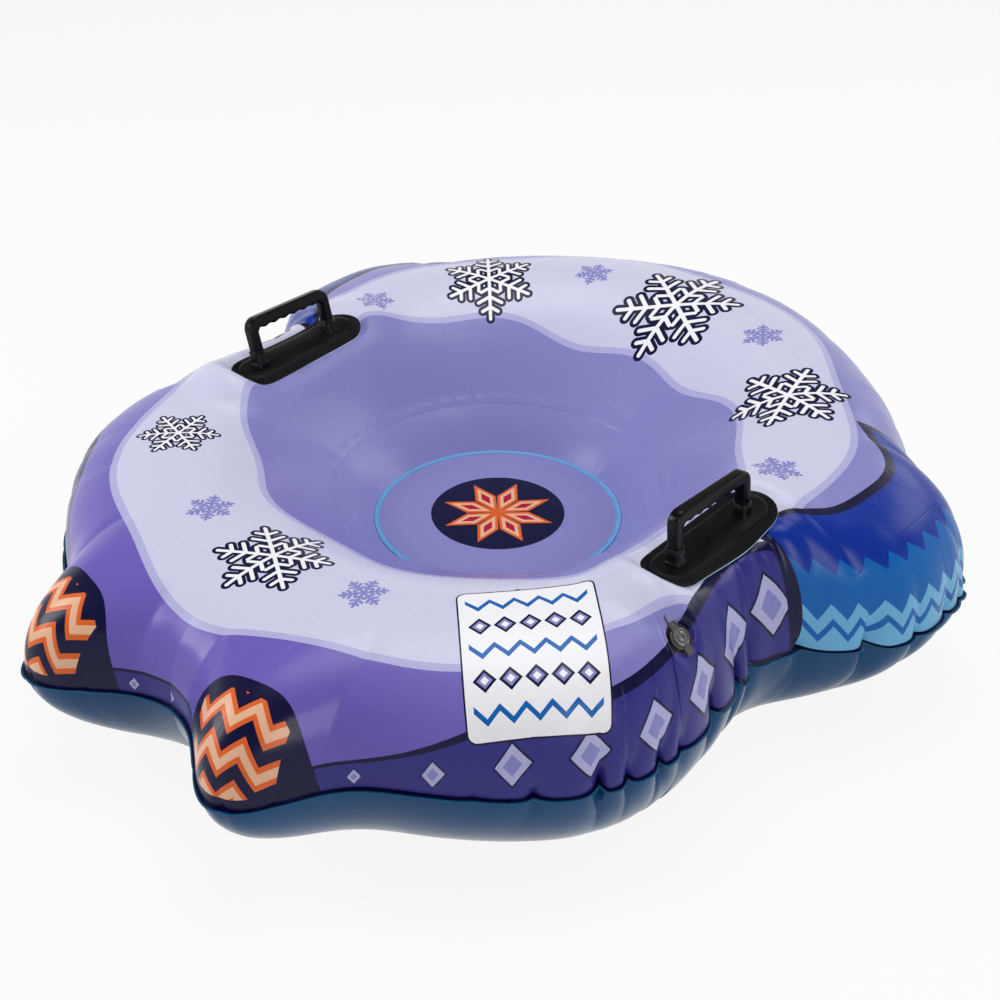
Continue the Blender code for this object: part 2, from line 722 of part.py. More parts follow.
def make_valve_socket(frame, collection, surface):
    inside = CUP_RADIUS - CUP_WALL
    bore = STEM_RADIUS + STEM_CLEARANCE
    rim = -CUP_RIM_DROP
    flange = -VALVE_FLANGE_DROP
    floor = -CUP_DEPTH
    profile = [(inside, rim), (CUP_RADIUS, rim), (CUP_RADIUS, flange), (VALVE_FLANGE_RADIUS, flange),
               (VALVE_FLANGE_RADIUS, flange - CUP_WALL), (CUP_RADIUS, flange - CUP_WALL),
               (CUP_RADIUS, floor - CUP_WALL), (bore + CUP_WALL, floor - CUP_WALL),
               (bore + CUP_WALL, floor - COLLAR_LENGTH), (bore, floor - COLLAR_LENGTH), (bore, floor),
               (inside, floor)]
    return turned("valve_socket", profile, collection, surface, frame)


def make_valve_stem(frame, collection, cutters, surface):
    """Stem tube with its rim, and the arm that carries the plug's strap."""
    top = GAP + STEM_RIM_THICKNESS
    profile = [(STEM_BORE, top), (STEM_RIM_RADIUS, top), (STEM_RIM_RADIUS, GAP), (STEM_RADIUS, GAP),
               (STEM_RADIUS, top - STEM_LENGTH), (STEM_BORE, top - STEM_LENGTH)]
    stem = turned("valve_stem", profile, collection, surface, frame)
    middle = (STEM_RADIUS + STEM_BORE) / 2
    half = STRAP_WIDTH / 2
    arm = [(middle, -half), (STRAP_REACH, -half), (STRAP_REACH, half), (middle, half)]
    bm = prism(((arm, GAP), (arm, top)))
    boolean(stem, bmesh_object("stem_arm", bm, cutters, None, frame), "UNION")
    return top


def make_valve_plug(frame, top, collection, cutters, surface):
    """Plug with ringed cap, tapered stub, ribbed pull tab and a strap that hinges at its end."""
    hinge = Matrix.Translation((STRAP_REACH, 0, top + GAP / 2))
    low = GAP / 2
    cap = low + PLUG_THICKNESS
    ridge = cap + PLUG_RIDGE_HEIGHT
    profile = [(PLUG_STUB_TIP, low - PLUG_STUB_LENGTH), (PLUG_STUB_TOP, low), (PLUG_RADIUS, low)]
    profile.append((PLUG_RADIUS, ridge))
    for share, height in zip(PLUG_RING_SHARES, (ridge, cap, cap, ridge, ridge, cap)):
        profile.append((PLUG_RADIUS * share, height))
    bm = disc_solid(profile, CIRCLE_SIDES)
    bmesh.ops.translate(bm, verts=bm.verts, vec=(-STRAP_REACH, 0, 0))
    plug = bmesh_object("valve_plug", bm, collection, surface, frame @ hinge)
    plug.data.shade_smooth()
    plug.data.set_sharp_from_angle(angle=math.radians(30))
    half = STRAP_WIDTH / 2
    end = -STRAP_REACH - TAB_REACH
    inner = PLUG_STUB_TOP
    strap = [(inner - STRAP_REACH, -half), (0, -half), (0, half), (inner - STRAP_REACH, half)]
    root = -inner - STRAP_REACH
    tab = [(end + half, -half), (root, -half), (root, half), (end + half, half)]
    tab += [(end + half + half * math.cos(math.radians(a)), half * math.sin(math.radians(a)))
            for a in TAB_ROUND_ANGLES]
    parts = [("plug_strap", strap, low, low + STRAP_THICKNESS), ("plug_tab", tab, low, low + STRAP_THICKNESS)]
    for number, share in enumerate(RIB_SHARES):
        x = -STRAP_REACH - TAB_REACH * share
        rib = [(x - RIB_THICKNESS / 2, -RIB_WIDTH / 2), (x + RIB_THICKNESS / 2, -RIB_WIDTH / 2),
               (x + RIB_THICKNESS / 2, RIB_WIDTH / 2), (x - RIB_THICKNESS / 2, RIB_WIDTH / 2)]
        foot = low + STRAP_THICKNESS / 2
        parts.append(("tab_rib_" + str(number), rib, foot, low + STRAP_THICKNESS + RIB_HEIGHT))
    for name, outline, bottom, upper in parts:
        piece = bmesh_object(name, prism(((outline, bottom), (outline, upper))), cutters, None, frame @ hinge)
        boolean(plug, piece, "UNION")


def make_valve_flap(frame, top, collection, surface):
    """Check flap under the stem, hung from its down-slope side."""
    height = top - STEM_LENGTH - GAP - FLAP_THICKNESS / 2
    hinge = Matrix.Translation((FLAP_RADIUS, 0, height))
    half = FLAP_THICKNESS / 2
    bm = disc_solid(((FLAP_RADIUS, -half), (FLAP_RADIUS, half)), CIRCLE_SIDES // 2)
    bmesh.ops.translate(bm, verts=bm.verts, vec=(-FLAP_RADIUS, 0, 0))
    bmesh_object("valve_flap", bm, collection, surface, frame @ hinge)


def cut_valve_hole(skin, frame, cutters):
    radius = CUP_RADIUS + GAP
    bm = disc_solid(((radius, -CUP_DEPTH), (radius, CUP_DEPTH)), CIRCLE_SIDES)
    boolean(skin, bmesh_object("valve_hole", bm, cutters, None, frame), "DIFFERENCE")


def centre_outline(collections, skin_columns):
    """Moves everything along Y until the seam outline reaches equally far to the front and the back."""
    reaches = [column[-1].y for column in skin_columns]
    shift = Matrix.Translation((0, -(min(reaches) + max(reaches)) / 2, 0))
    for collection in collections:
        for item in collection.objects:
            item.matrix_world = shift @ item.matrix_world


def main():
    clear_scene()
    parts = new_collection("inflatable_sled")
    cutters = new_collection("cutters")
    colours = {
        "top": material("printed_vinyl", "8280bd", 0.32),
        "bottom": material("slick_base_vinyl", "12385a", 0.22),
        "ring": material("weld_ring_vinyl", "6aa8dc", 0.35),
        "inner": material("clear_baffle_vinyl", "c9cdd6", 0.4),
        "patch": material("black_patch_vinyl", "1c1a20", 0.42),
        "moulding": material("black_moulded_grip", "121014", 0.3),
        "valve": material("smoky_valve_vinyl", "4a4444", 0.25),
    }
    top_skin = make_top_skin(parts, colours["top"])
    make_seat_panel(parts, colours["top"])
    make_seat_ring(parts, colours["ring"])
    make_baffle(parts, cutters, colours["inner"])
    make_bottom_skin(parts, colours["bottom"])
    make_handle(1, "right", parts, cutters, colours)
    make_handle(-1, "left", parts, cutters, colours)
    skin_columns = top_columns()
    frame = valve_frame(skin_columns)
    cut_valve_hole(top_skin, frame, cutters)
    make_valve_socket(frame, parts, colours["valve"])
    top = make_valve_stem(frame, parts, cutters, colours["valve"])
    make_valve_plug(frame, top, parts, cutters, colours["valve"])
    make_valve_flap(frame, top, parts, colours["valve"])
    centre_outline((parts, cutters), skin_columns)


main()
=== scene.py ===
"""Inflatable snow sled: printed and welded skins, handles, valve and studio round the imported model.

Metres, +Z up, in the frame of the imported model. Sections of the tube are worked out around the
middle of the seat as (distance from the middle, height), for each direction in degrees from +X.
"""

import bisect
import json
import math
import random

import bmesh
import bpy
from bpy.props import FloatProperty, FloatVectorProperty, IntProperty, PointerProperty
from mathutils import Matrix, Vector


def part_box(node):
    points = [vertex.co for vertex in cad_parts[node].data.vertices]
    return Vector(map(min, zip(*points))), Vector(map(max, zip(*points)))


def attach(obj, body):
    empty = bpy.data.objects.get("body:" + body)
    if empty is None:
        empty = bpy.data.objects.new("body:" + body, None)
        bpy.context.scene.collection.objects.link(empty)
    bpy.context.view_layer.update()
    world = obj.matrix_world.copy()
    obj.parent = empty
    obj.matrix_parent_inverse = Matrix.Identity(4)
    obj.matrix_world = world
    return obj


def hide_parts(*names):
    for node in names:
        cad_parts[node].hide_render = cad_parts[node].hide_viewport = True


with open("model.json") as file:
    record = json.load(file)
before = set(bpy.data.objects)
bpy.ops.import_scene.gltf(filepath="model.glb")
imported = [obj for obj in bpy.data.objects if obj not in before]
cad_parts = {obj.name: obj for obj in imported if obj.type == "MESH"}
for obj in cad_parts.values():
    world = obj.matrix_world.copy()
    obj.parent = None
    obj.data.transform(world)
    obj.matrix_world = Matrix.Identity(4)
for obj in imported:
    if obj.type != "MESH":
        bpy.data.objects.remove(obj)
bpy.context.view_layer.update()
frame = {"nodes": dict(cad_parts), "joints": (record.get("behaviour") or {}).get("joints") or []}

bl_info = {
    "name": "Inflatable snow sled",
    "version": (1, 0, 0),
    "blender": (4, 5, 0),
    "location": "3D View > Sidebar > Snow sled",
    "description": "Builds the skins, handles, valve and studio of an inflatable snow sled",
    "category": "Add Mesh",
}

SEAT_LOW, SEAT_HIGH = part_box("seat_panel")
SEAT_MIDDLE = Vector((0, (SEAT_LOW.y + SEAT_HIGH.y) / 2, 0))
JOINTS = {joint["name"]: joint for joint in frame["joints"]}

# Directions of the outline's features, in degrees, alike on both sides
FLANK_ANGLE = -41.0
WAIST_ANGLE = 0.0
SHOULDER_ANGLE = 51.5
FRONT_LOBE_ANGLE = -75.0
FRONT_LOBE_HALF_ANGLE = 7.6
FRONT_LOBE_SQUARENESS = 2
SIDE_LOBE_ANGLE = 20.3
SIDE_LOBE_HALF_ANGLE = 15.1
SIDE_LOBE_SQUARENESS = 3.4
GATHER_START_ANGLE = -55.0
GATHER_FULL_ANGLE = -39.0
LOBE_GATHER_SHARE = 0.5
LOBE_GATHER_HALF_ANGLE = 4.5

# Section curves: shares of the run and the rise between their end points
CREST_SHARE = 0.54
CONTACT_SHARE = 0.69
RISE_START_SHARES = (0.35, 0.55)
CREST_EASE_SHARE = 0.41
OUTER_FULL_SHARE = 0.70
LOWER_FULL_SHARE = 0.45
CREST_SHARPNESS = 1.1

# Thickness of the printed sheets and of the base sheet, the gap between welded faces, and how far
# the top sheet's face lies outside the section curves
SHEET = 0.0006
BASE_SHEET = 0.0008
WELD_GAP = 0.0003
SKIN_FACE = 0.00075

# Mesh fineness
OUTLINE_SAMPLES = 2880
COLUMNS_PER_GATHER = 16
SEAT_COLUMNS = 288
LAP_ROWS = 10
INNER_ROWS = 22
OUTER_ROWS = 40
LOWER_ROWS = 26
WELL_ROWS = 8
FLOOR_ROWS = 22
WALL_ROWS = 14
SEARCH_STEPS = 22
TURN_STEPS = 72
CORNER_STEPS = 10

# Roughness of each surface, from its smoothest places to the most handled
PRINT_ROUGHNESS = (0.22, 0.30)
SLICK_ROUGHNESS = (0.16, 0.26)
RING_ROUGHNESS = (0.25, 0.35)
PATCH_ROUGHNESS = (0.28, 0.38)
EDGE_ROUGHNESS = (0.30, 0.40)
MOULDING_ROUGHNESS = (0.16, 0.26)
VALVE_ROUGHNESS = (0.06, 0.14)

# Refractive index of PVC
PVC_INDEX = 1.53

# Specular level: low on black and dark faces, where the white studio would show as grey
FILM_GLINT = 0.20
MOULDING_GLINT = 0.13
PATCH_GLINT = 0.07


def metres(name, description, default):
    return FloatProperty(name=name, description=description, default=default, unit="LENGTH")


def degrees(name, description, default):
    return FloatProperty(
        name=name, description=description, default=math.radians(default), unit="ROTATION")


class SledShape(bpy.types.PropertyGroup):
    front_radius: metres("Front radius", "From the seat's middle to the front seam", 0.502)
    flank_radius: metres("Flank radius", "To the seam beside the front lobes", 0.516)
    waist_radius: metres("Waist radius", "To the seam beside the handles", 0.405)
    shoulder_radius: metres("Shoulder radius", "To the seam behind the side lobes", 0.508)
    back_radius: metres("Back radius", "To the back seam", 0.538)
    front_lobe_reach: metres("Front lobe reach", "How far the two front lobes stand out", 0.090)
    side_lobe_reach: metres("Side lobe reach", "How far the two side lobes stand out", 0.101)
    seat_height: metres("Seat height", "Top of the seat floor", 0.123)
    floor_radius: metres("Seat floor radius", "Outer edge of the flat floor", 0.150)
    wall_spread: metres("Seat wall spread", "From the floor's edge to the seat weld", 0.054)
    wall_rise: metres("Seat wall rise", "From the floor up to the seat weld", 0.0523)
    weld_lap: metres("Weld lap", "Overlap of the top sheet on the seat sheet", 0.010)
    under_spread: metres("Under-seat spread", "Width of the slope under the seat", 0.086)
    ring_width: metres("Floor ring width", "Weld ring on the seat floor", 0.0065)
    front_crest: metres("Front crest height", "Top of the tube at the front", 0.2375)
    side_crest: metres("Side crest height", "Top of the tube at the handles", 0.256)
    back_crest: metres("Back crest height", "Top of the tube at the back", 0.287)
    front_seam: metres("Front seam height", "Outer seam at the front", 0.1225)
    back_seam: metres("Back seam height", "Outer seam at the back", 0.107)
    flange_width: metres("Seam flange width", "Flat welded rim outside the seam", 0.0055)


class SledFolds(bpy.types.PropertyGroup):
    gather_spacing: metres("Gather spacing", "Along the seam from one gather to the next", 0.052)
    gather_pull: metres("Gather pull", "How far a gather draws the seam in", 0.013)
    gather_rise: metres("Gather rise", "How far a gather lifts the seam", 0.006)
    fold_depth: metres("Fold depth", "Depth of the folds that run in from the seam", 0.0090)
    weld_dent: metres("Weld dent", "Depth of the two pressed lines at the seat weld", 0.0007)
    handle_swell: metres("Handle swell", "Height of the skin in front of the patches", 0.022)
    pattern_seed: IntProperty(
        name="Fold pattern", description="Picks another set of uneven folds", default=11)


def linear(hex_colour):
    """An sRGB hex colour as linear red, green, blue and alpha."""
    channels = [int(hex_colour[i:i + 2], 16) / 255 for i in (0, 2, 4)]
    return (*(c / 12.92 if c <= 0.04045 else ((c + 0.055) / 1.055) ** 2.4 for c in channels), 1)


def ink(name, hex_colour, description):
    return FloatVectorProperty(
        name=name, description=description, default=linear(hex_colour), size=4, min=0, max=1,
        subtype="COLOR")


class SledColours(bpy.types.PropertyGroup):
    lavender: ink("Lavender", "8786c2", "Ground of the print, and small snow crystals")
    purple: ink("Purple", "6b5cb4", "Ground of the print at the front")
    violet: ink("Violet blue", "33307e", "Bands along the seam")
    pale: ink("Pale lavender", "cbcbe4", "Snow ribbon")
    mist: ink("Mist", "b0afd9", "Soft edge of the ribbon, and the lozenges")
    navy: ink("Navy", "0c0c38", "Outlines, and fields under the chevrons and the star")
    royal: ink("Royal blue", "0a2f95", "Side lobes, inner band")
    azure: ink("Azure", "0a62b0", "Side lobes, middle band")
    ice: ink("Ice blue", "6db2dc", "Side lobes, outer band")
    orange: ink("Orange", "e0652a", "Chevrons and knit star")
    peach: ink("Peach", "e8b795", "Light lines in the chevrons and the star")
    crimson: ink("Crimson", "b0103a", "Heart of the knit star")
    white: ink("Panel white", "f0f0f5", "Knit panel and large snow crystals")
    ring: ink("Ring blue", "6aa8dc", "Weld ring on the seat floor")
    base: ink("Base navy", "0d4674", "Slick base sheet")
    seam: ink("Seam teal", "1a5f86", "Bare rim and cut edges of the seam flange")
    black: ink("Moulding black", "0b0a0d", "Handles")
    patch: ink("Patch black", "0e0d11", "Welded handle patches")
    edge: ink("Bare edge", "a9c6da", "Unprinted edge of the patches")
    smoke: ink("Smoky grey", "6c676a", "Valve")
    baffle: ink("Clear film", "c9cdd6", "Band inside the tube")


class HandleSizes(bpy.types.PropertyGroup):
    outset: metres("Outset", "From the crest out to the handle", 0.0115)
    offset: metres("Offset", "Both handles sit this far to the right", 0.012)
    along: metres("Place along the sled", "From the seat's middle", -0.037)
    right_lean: degrees("Right lean", "Turn of the right grip about the sled's length", -4)
    left_lean: degrees("Left lean", "Turn of the left grip about the sled's length", -16)
    grip_span: metres("Grip span", "Between the legs' middles", 0.118)
    grip_height: metres("Grip height", "From the plate to the top of the bar", 0.058)
    bar: metres("Bar", "Height of the bar", 0.0145)
    leg: metres("Leg", "Width of a leg", 0.013)
    depth: metres("Depth", "Thickness of the grip", 0.0145)
    patch_length: metres("Patch length", "Welded patch, end to end", 0.200)
    patch_width: metres("Patch width", "Welded patch, side to side", 0.066)
    patch_shift: metres("Patch shift", "Patch middle behind the grip's middle", 0.002)
    plate_width: metres("Plate width", "Moulded plate under the patch", 0.036)
    rib_pitch: metres("Rib pitch", "Between the ribs of the patch's weld", 0.0036)


class ValveSizes(bpy.types.PropertyGroup):
    cup_radius: metres("Cup radius", "Outside of the sunken cup", 0.0165)
    cup_depth: metres("Cup depth", "Floor of the cup below the skin", 0.009)
    stem_radius: metres("Stem radius", "Outside of the stem", 0.0082)
    stem_bore: metres("Stem bore", "Inside of the stem", 0.0052)
    stem_length: metres("Stem length", "From its rim to its lower end", 0.020)
    rim_radius: metres("Stem rim radius", "Flat rim that the plug lies on", 0.012)
    plug_radius: metres("Plug radius", "Ringed cap of the plug", 0.010)
    strap_reach: metres("Strap reach", "From the plug's middle to its hinge", 0.020)
    strap_width: metres("Strap width", "Strap and pull tab", 0.0095)
    tab_reach: metres("Tab reach", "From the plug's middle to the end of the pull tab", 0.0285)


class StudioSizes(bpy.types.PropertyGroup):
    distance: metres("Camera distance", "From the target to the camera", 2.1698)
    azimuth: degrees("Camera direction", "Turn about +Z from the sled's front", 42.233)
    elevation: degrees("Camera elevation", "Height of the view above level", 32.145)
    lens: FloatProperty(
        name="Lens", description="Focal length on a 36 mm sensor, in millimetres", default=64.12)
    floor_size: metres("Floor size", "Side of the studio floor", 16.0)


def ease(share):
    share = min(max(share, 0), 1)
    return (1 - math.cos(math.pi * share)) / 2


def folded_angle(angle):
    """The same direction on the +X side, from -90 (front) to 90 (back) degrees."""
    angle = (angle + 180) % 360 - 180
    if angle > 90:
        return 180 - angle
    if angle < -90:
        return -180 - angle
    return angle


def body_radius(shape, angle):
    """Seam radius of the plain ring, without lobes."""
    turn = folded_angle(angle)
    stations = ((-90, shape.front_radius), (FLANK_ANGLE, shape.flank_radius),
                (WAIST_ANGLE, shape.waist_radius), (SHOULDER_ANGLE, shape.shoulder_radius),
                (90, shape.back_radius))
    for (start, low), (end, high) in zip(stations, stations[1:]):
        if turn <= end:
            break
    return low + (high - low) * ease((turn - start) / (end - start))


def lobe(turn, middle, half_angle, squareness):
    return math.exp(-abs((turn - middle) / half_angle) ** squareness)


def seam_radius(shape, angle):
    turn = folded_angle(angle)
    front = lobe(turn, FRONT_LOBE_ANGLE, FRONT_LOBE_HALF_ANGLE, FRONT_LOBE_SQUARENESS)
    side = lobe(turn, SIDE_LOBE_ANGLE, SIDE_LOBE_HALF_ANGLE, SIDE_LOBE_SQUARENESS)
    return body_radius(shape, angle) + shape.front_lobe_reach * front + shape.side_lobe_reach * side


def seam_height(shape, angle):
    middle = (shape.front_seam + shape.back_seam) / 2
    tilt = (shape.back_seam - shape.front_seam) / 2
    return middle + tilt * math.sin(math.radians(angle))


def weld_point(shape):
    """Where the seat sheet meets the tube, as (radius, height)."""
    return shape.floor_radius + shape.wall_spread, shape.seat_height + shape.wall_rise


def crest(shape, angle):
    """Radius and height of the top of the tube."""
    along = math.sin(math.radians(angle))
    end = shape.back_crest if along > 0 else shape.front_crest
    height = shape.side_crest + (end - shape.side_crest) * abs(along) ** CREST_SHARPNESS
    weld = weld_point(shape)[0]
    return weld + (body_radius(shape, angle) - weld) * CREST_SHARE, height


def curve_point(points, share):
    """A point on a cubic curve, as (radius, height)."""
    rest = 1 - share
    weights = (rest ** 3, 3 * rest ** 2 * share, 3 * rest * share ** 2, share ** 3)
    return tuple(sum(w * p[axis] for w, p in zip(weights, points)) for axis in (0, 1))


def along_curve(points, count):
    return [curve_point(points, i / count) for i in range(count + 1)]


def inner_curve(shape, angle):
    """From the seat weld up to the crest."""
    weld, low = weld_point(shape)
    radius, height = crest(shape, angle)
    run = radius - weld
    start = (weld + run * RISE_START_SHARES[0], low + (height - low) * RISE_START_SHARES[1])
    return (weld, low), start, (radius - run * CREST_EASE_SHARE, height), (radius, height)


def outer_curve(shape, angle):
    """From the crest down to the seam."""
    radius, height = crest(shape, angle)
    seam = seam_radius(shape, angle)
    low = seam_height(shape, angle)
    run = (seam - radius) * OUTER_FULL_SHARE
    rise = (height - low) * OUTER_FULL_SHARE
    return (radius, height), (radius + run, height), (seam, low + rise), (seam, low)


def lower_curve(shape, angle):
    """From the ground up to the seam."""
    weld = weld_point(shape)[0]
    seam = seam_radius(shape, angle)
    low = seam_height(shape, angle)
    foot = weld + (body_radius(shape, angle) - weld) * CONTACT_SHARE
    run = (seam - foot) * LOWER_FULL_SHARE
    return (foot, 0), (foot + run, 0), (seam, low - low * LOWER_FULL_SHARE), (seam, low)


def well_curve(shape):
    """Under the sled, from the seat weld down to the ground."""
    weld = weld_point(shape)[0]
    low = shape.seat_height - shape.wall_rise
    start = (weld + shape.under_spread * RISE_START_SHARES[0], low - low * RISE_START_SHARES[1])
    foot = weld + shape.under_spread
    return (weld, low), start, (foot - shape.under_spread * CREST_EASE_SHARE, 0), (foot, 0)


def polar(angle, radius, height=0.0):
    turn = math.radians(angle)
    return SEAT_MIDDLE + Vector((radius * math.cos(turn), radius * math.sin(turn), height))


def arc(x, y, radius, start, end, steps=CORNER_STEPS):
    """Points of an arc about (x, y), from one direction to another in degrees."""
    turns = [math.radians(start + (end - start) * i / steps) for i in range(steps + 1)]
    return [(x + radius * math.cos(turn), y + radius * math.sin(turn)) for turn in turns]


def top_point(shape, x, y):
    """The point of the smooth top sheet above (x, y), measured from the seat's middle."""
    angle = math.degrees(math.atan2(y, x))
    radius = math.hypot(x, y)
    curve = outer_curve if radius > crest(shape, angle)[0] else inner_curve
    points = curve(shape, angle)
    low, high = 0, 1
    for _ in range(SEARCH_STEPS):
        middle = (low + high) / 2
        if curve_point(points, middle)[0] < radius:
            low = middle
        else:
            high = middle
    return Vector((x, y, curve_point(points, low)[1]))


def top_normal(shape, x, y):
    step = WELD_GAP
    along_x = top_point(shape, x + step, y) - top_point(shape, x - step, y)
    along_y = top_point(shape, x, y + step) - top_point(shape, x, y - step)
    return along_x.cross(along_y).normalized()


class Column:
    """One direction around the seam, with its place between two gathers of the seam."""

    def __init__(self, angle, distance, share, spacing, gathers):
        self.angle = angle
        self.distance = distance
        self.share = share
        self.spacing = spacing
        self.gathers = gathers

    def pull(self, inset=0):
        """How hard the seam is drawn in, sharpest at a gather and fading inwards."""
        before, after = (gather[0] for gather in self.gathers)
        depth = before + (after - before) * self.share
        cusp = (1 - math.sin(math.pi * self.share)) ** GATHER_CUSP
        return depth * cusp * math.exp(-inset / GATHER_REACH)

    def fold(self, inset):
        """How deep the folds from the two nearest gathers are, at a distance in from the seam."""
        width = FOLD_WIDTH + inset * FOLD_FLARE
        total = 0
        for gap, (strength, reach, lean) in zip((self.share, self.share - 1), self.gathers):
            off = abs(gap * self.spacing - lean * inset) / width
            total += strength * math.exp(-inset / reach - off ** FOLD_CUSP)
        puff = FOLD_PUFF * math.sin(math.pi * self.share) * math.exp(-inset / FOLD_PUFF_REACH)
        return total - puff * max(self.gathers[0][0], self.gathers[1][0])


# Sharpness and reach of the gathers and folds; a pair holds the ends of an uneven draw
GATHER_CUSP = 1.8
GATHER_REACH = 0.030
FOLD_WIDTH = 0.0038
FOLD_FLARE = 0.13
FOLD_CUSP = 1.35
FOLD_PUFF = 0.14
FOLD_PUFF_REACH = 0.05
FOLD_REACHES = (0.028, 0.105)
FOLD_LEANS = (-0.4, 0.4)
PULL_SHARES = (0.12, 1.35)
SPACING_SHARES = (0.50, 1.50)
CROWDING = 0.68


def outline_columns(shape, folds):
    """Columns around the seam, a set number from each gather to the next, from the front."""
    samples = [-90 + 360 * i / OUTLINE_SAMPLES for i in range(OUTLINE_SAMPLES + 1)]
    points = [polar(angle, seam_radius(shape, angle)) for angle in samples]
    lengths = [0]
    for a, b in zip(points, points[1:]):
        lengths.append(lengths[-1] + (b - a).length)
    outline = lengths[-1]
    picker = random.Random(folds.pattern_seed)
    count = round(outline / folds.gather_spacing)
    widths = [picker.uniform(*SPACING_SHARES) for _ in range(count)]
    places = [outline * sum(widths[:i]) / sum(widths) for i in range(count + 1)]

    def angle_at(distance):
        index = min(bisect.bisect_right(lengths, distance), OUTLINE_SAMPLES) - 1
        part = (distance - lengths[index]) / (lengths[index + 1] - lengths[index])
        return samples[index] + part * (samples[index + 1] - samples[index])

    gathers = []
    for place in places[:-1]:
        turn = folded_angle(angle_at(place))
        strength = ease((turn - GATHER_START_ANGLE) / (GATHER_FULL_ANGLE - GATHER_START_ANGLE))
        strength += LOBE_GATHER_SHARE * lobe(turn, FRONT_LOBE_ANGLE, LOBE_GATHER_HALF_ANGLE, 2)
        gathers.append((strength * picker.uniform(*PULL_SHARES), picker.uniform(*FOLD_REACHES),
                        picker.uniform(*FOLD_LEANS)))
    gathers.append(gathers[0])
    columns = []
    for i in range(count):
        spacing = places[i + 1] - places[i]
        for step in range(COLUMNS_PER_GATHER):
            even = step / COLUMNS_PER_GATHER
            share = even - CROWDING * math.sin(2 * math.pi * even) / (2 * math.pi)
            distance = places[i] + spacing * share
            columns.append(Column(angle_at(distance), distance, share, spacing, gathers[i:i + 2]))
    return columns, outline


def square_to(line):
    """For each (radius, height) of a line, the direction square to it, to its left."""
    normals = []
    for i in range(len(line)):
        before, after = line[max(i - 1, 0)], line[min(i + 1, len(line) - 1)]
        run, rise = after[0] - before[0], after[1] - before[1]
        size = math.hypot(run, rise) or 1
        normals.append((-rise / size, run / size))
    return normals


def walked(line):
    """Distance along a (radius, height) line at each of its points."""
    total = [0]
    for a, b in zip(line, line[1:]):
        total.append(total[-1] + math.hypot(b[0] - a[0], b[1] - a[1]))
    return total


def make_sheet(name, columns, surfaces, maps=None, flip=False, edge_rows=0):
    """A sheet through columns of points, closed around the seat.

    maps gives each UV map one place per point and one more column, for where the sheet closes.
    The last edge_rows strips take the second surface.
    """
    count = len(columns)
    rows = len(columns[0])
    corners = []
    for c in range(count):
        for i in range(rows - 1):
            corner = ((c, i), (c, i + 1), (c + 1, i + 1), (c + 1, i))
            corners.append(tuple(reversed(corner)) if flip else corner)
    mesh = bpy.data.meshes.new(name)
    faces = [tuple((c % count) * rows + i for c, i in corner) for corner in corners]
    mesh.from_pydata([tuple(point) for column in columns for point in column], [], faces)
    for map_name, places in (maps or {}).items():
        layer = mesh.uv_layers.new(name=map_name)
        layer.data.foreach_set("uv", [value for corner in corners for c, i in corner
                                      for value in places[c][i]])
    if edge_rows:
        last = rows - 1 - edge_rows
        mesh.polygons.foreach_set("material_index",
                                  [int(min(i for c, i in corner) >= last) for corner in corners])
    return mesh_piece(name, mesh, surfaces)


def add_object(name, data):
    made = bpy.data.objects.new(name, data)
    bpy.context.scene.collection.objects.link(made)
    return made


def mesh_piece(name, mesh, surfaces):
    for surface in surfaces:
        mesh.materials.append(surface)
    mesh.shade_smooth()
    mesh.set_sharp_from_angle(angle=math.radians(SHARP_ANGLE))
    return add_object(name, mesh)


def bmesh_piece(name, bm, surfaces, place=None):
    bmesh.ops.recalc_face_normals(bm, faces=bm.faces)
    mesh = bpy.data.meshes.new(name)
    bm.to_mesh(mesh)
    bm.free()
    piece = mesh_piece(name, mesh, surfaces)
    if place:
        mesh.transform(place)
    return piece


def merged(piece):
    """The piece, with points that lie in one place made one."""
    bm = bmesh.new()
    bm.from_mesh(piece.data)
    bmesh.ops.remove_doubles(bm, verts=bm.verts, dist=MERGE_REACH)
    bm.to_mesh(piece.data)
    bm.free()
    return piece


SHARP_ANGLE = 50
MERGE_REACH = WELD_GAP / 10


def settle(piece, body, slot, *nodes):
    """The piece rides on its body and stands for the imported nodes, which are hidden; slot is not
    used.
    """
    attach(piece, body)
    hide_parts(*nodes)


def weld_dents(folds, weld, radius, angle):
    """Two pressed lines a lap apart, with small cusps along them."""
    cusp = CUSP_REACH * abs(math.sin(math.radians(angle) * WELD_CUSPS))
    depth = 0
    for line, side in ((weld - WELD_LINE_GAP, -1), (weld, 1)):
        depth += math.exp(-((radius - line - side * cusp) / WELD_LINE_WIDTH) ** 2)
    return folds.weld_dent * depth


WELD_CUSPS = 26
CUSP_REACH = 0.0014
WELD_LINE_GAP = 0.0085
WELD_LINE_WIDTH = 0.0012
PINCH_COUNT = 47
PINCH_DEPTH = 0.0007
PINCH_REACH = 0.016
PINCH_DRIFT = 2.2
PINCH_DRIFTS = 7
PINCH_STRETCHES = 5
PINCH_STRETCH_START = 1


def pinches(angle, gap):
    """Small radial pinches that run a short way from a round weld, in some stretches of it."""
    turn = math.radians(angle)
    wave = math.sin(turn * PINCH_COUNT + PINCH_DRIFT * math.sin(turn * PINCH_DRIFTS))
    stretch = max(math.sin(turn * PINCH_STRETCHES + PINCH_STRETCH_START), 0)
    return PINCH_DEPTH * stretch * max(wave, 0) ** 2 * math.exp(-abs(gap) / PINCH_REACH)


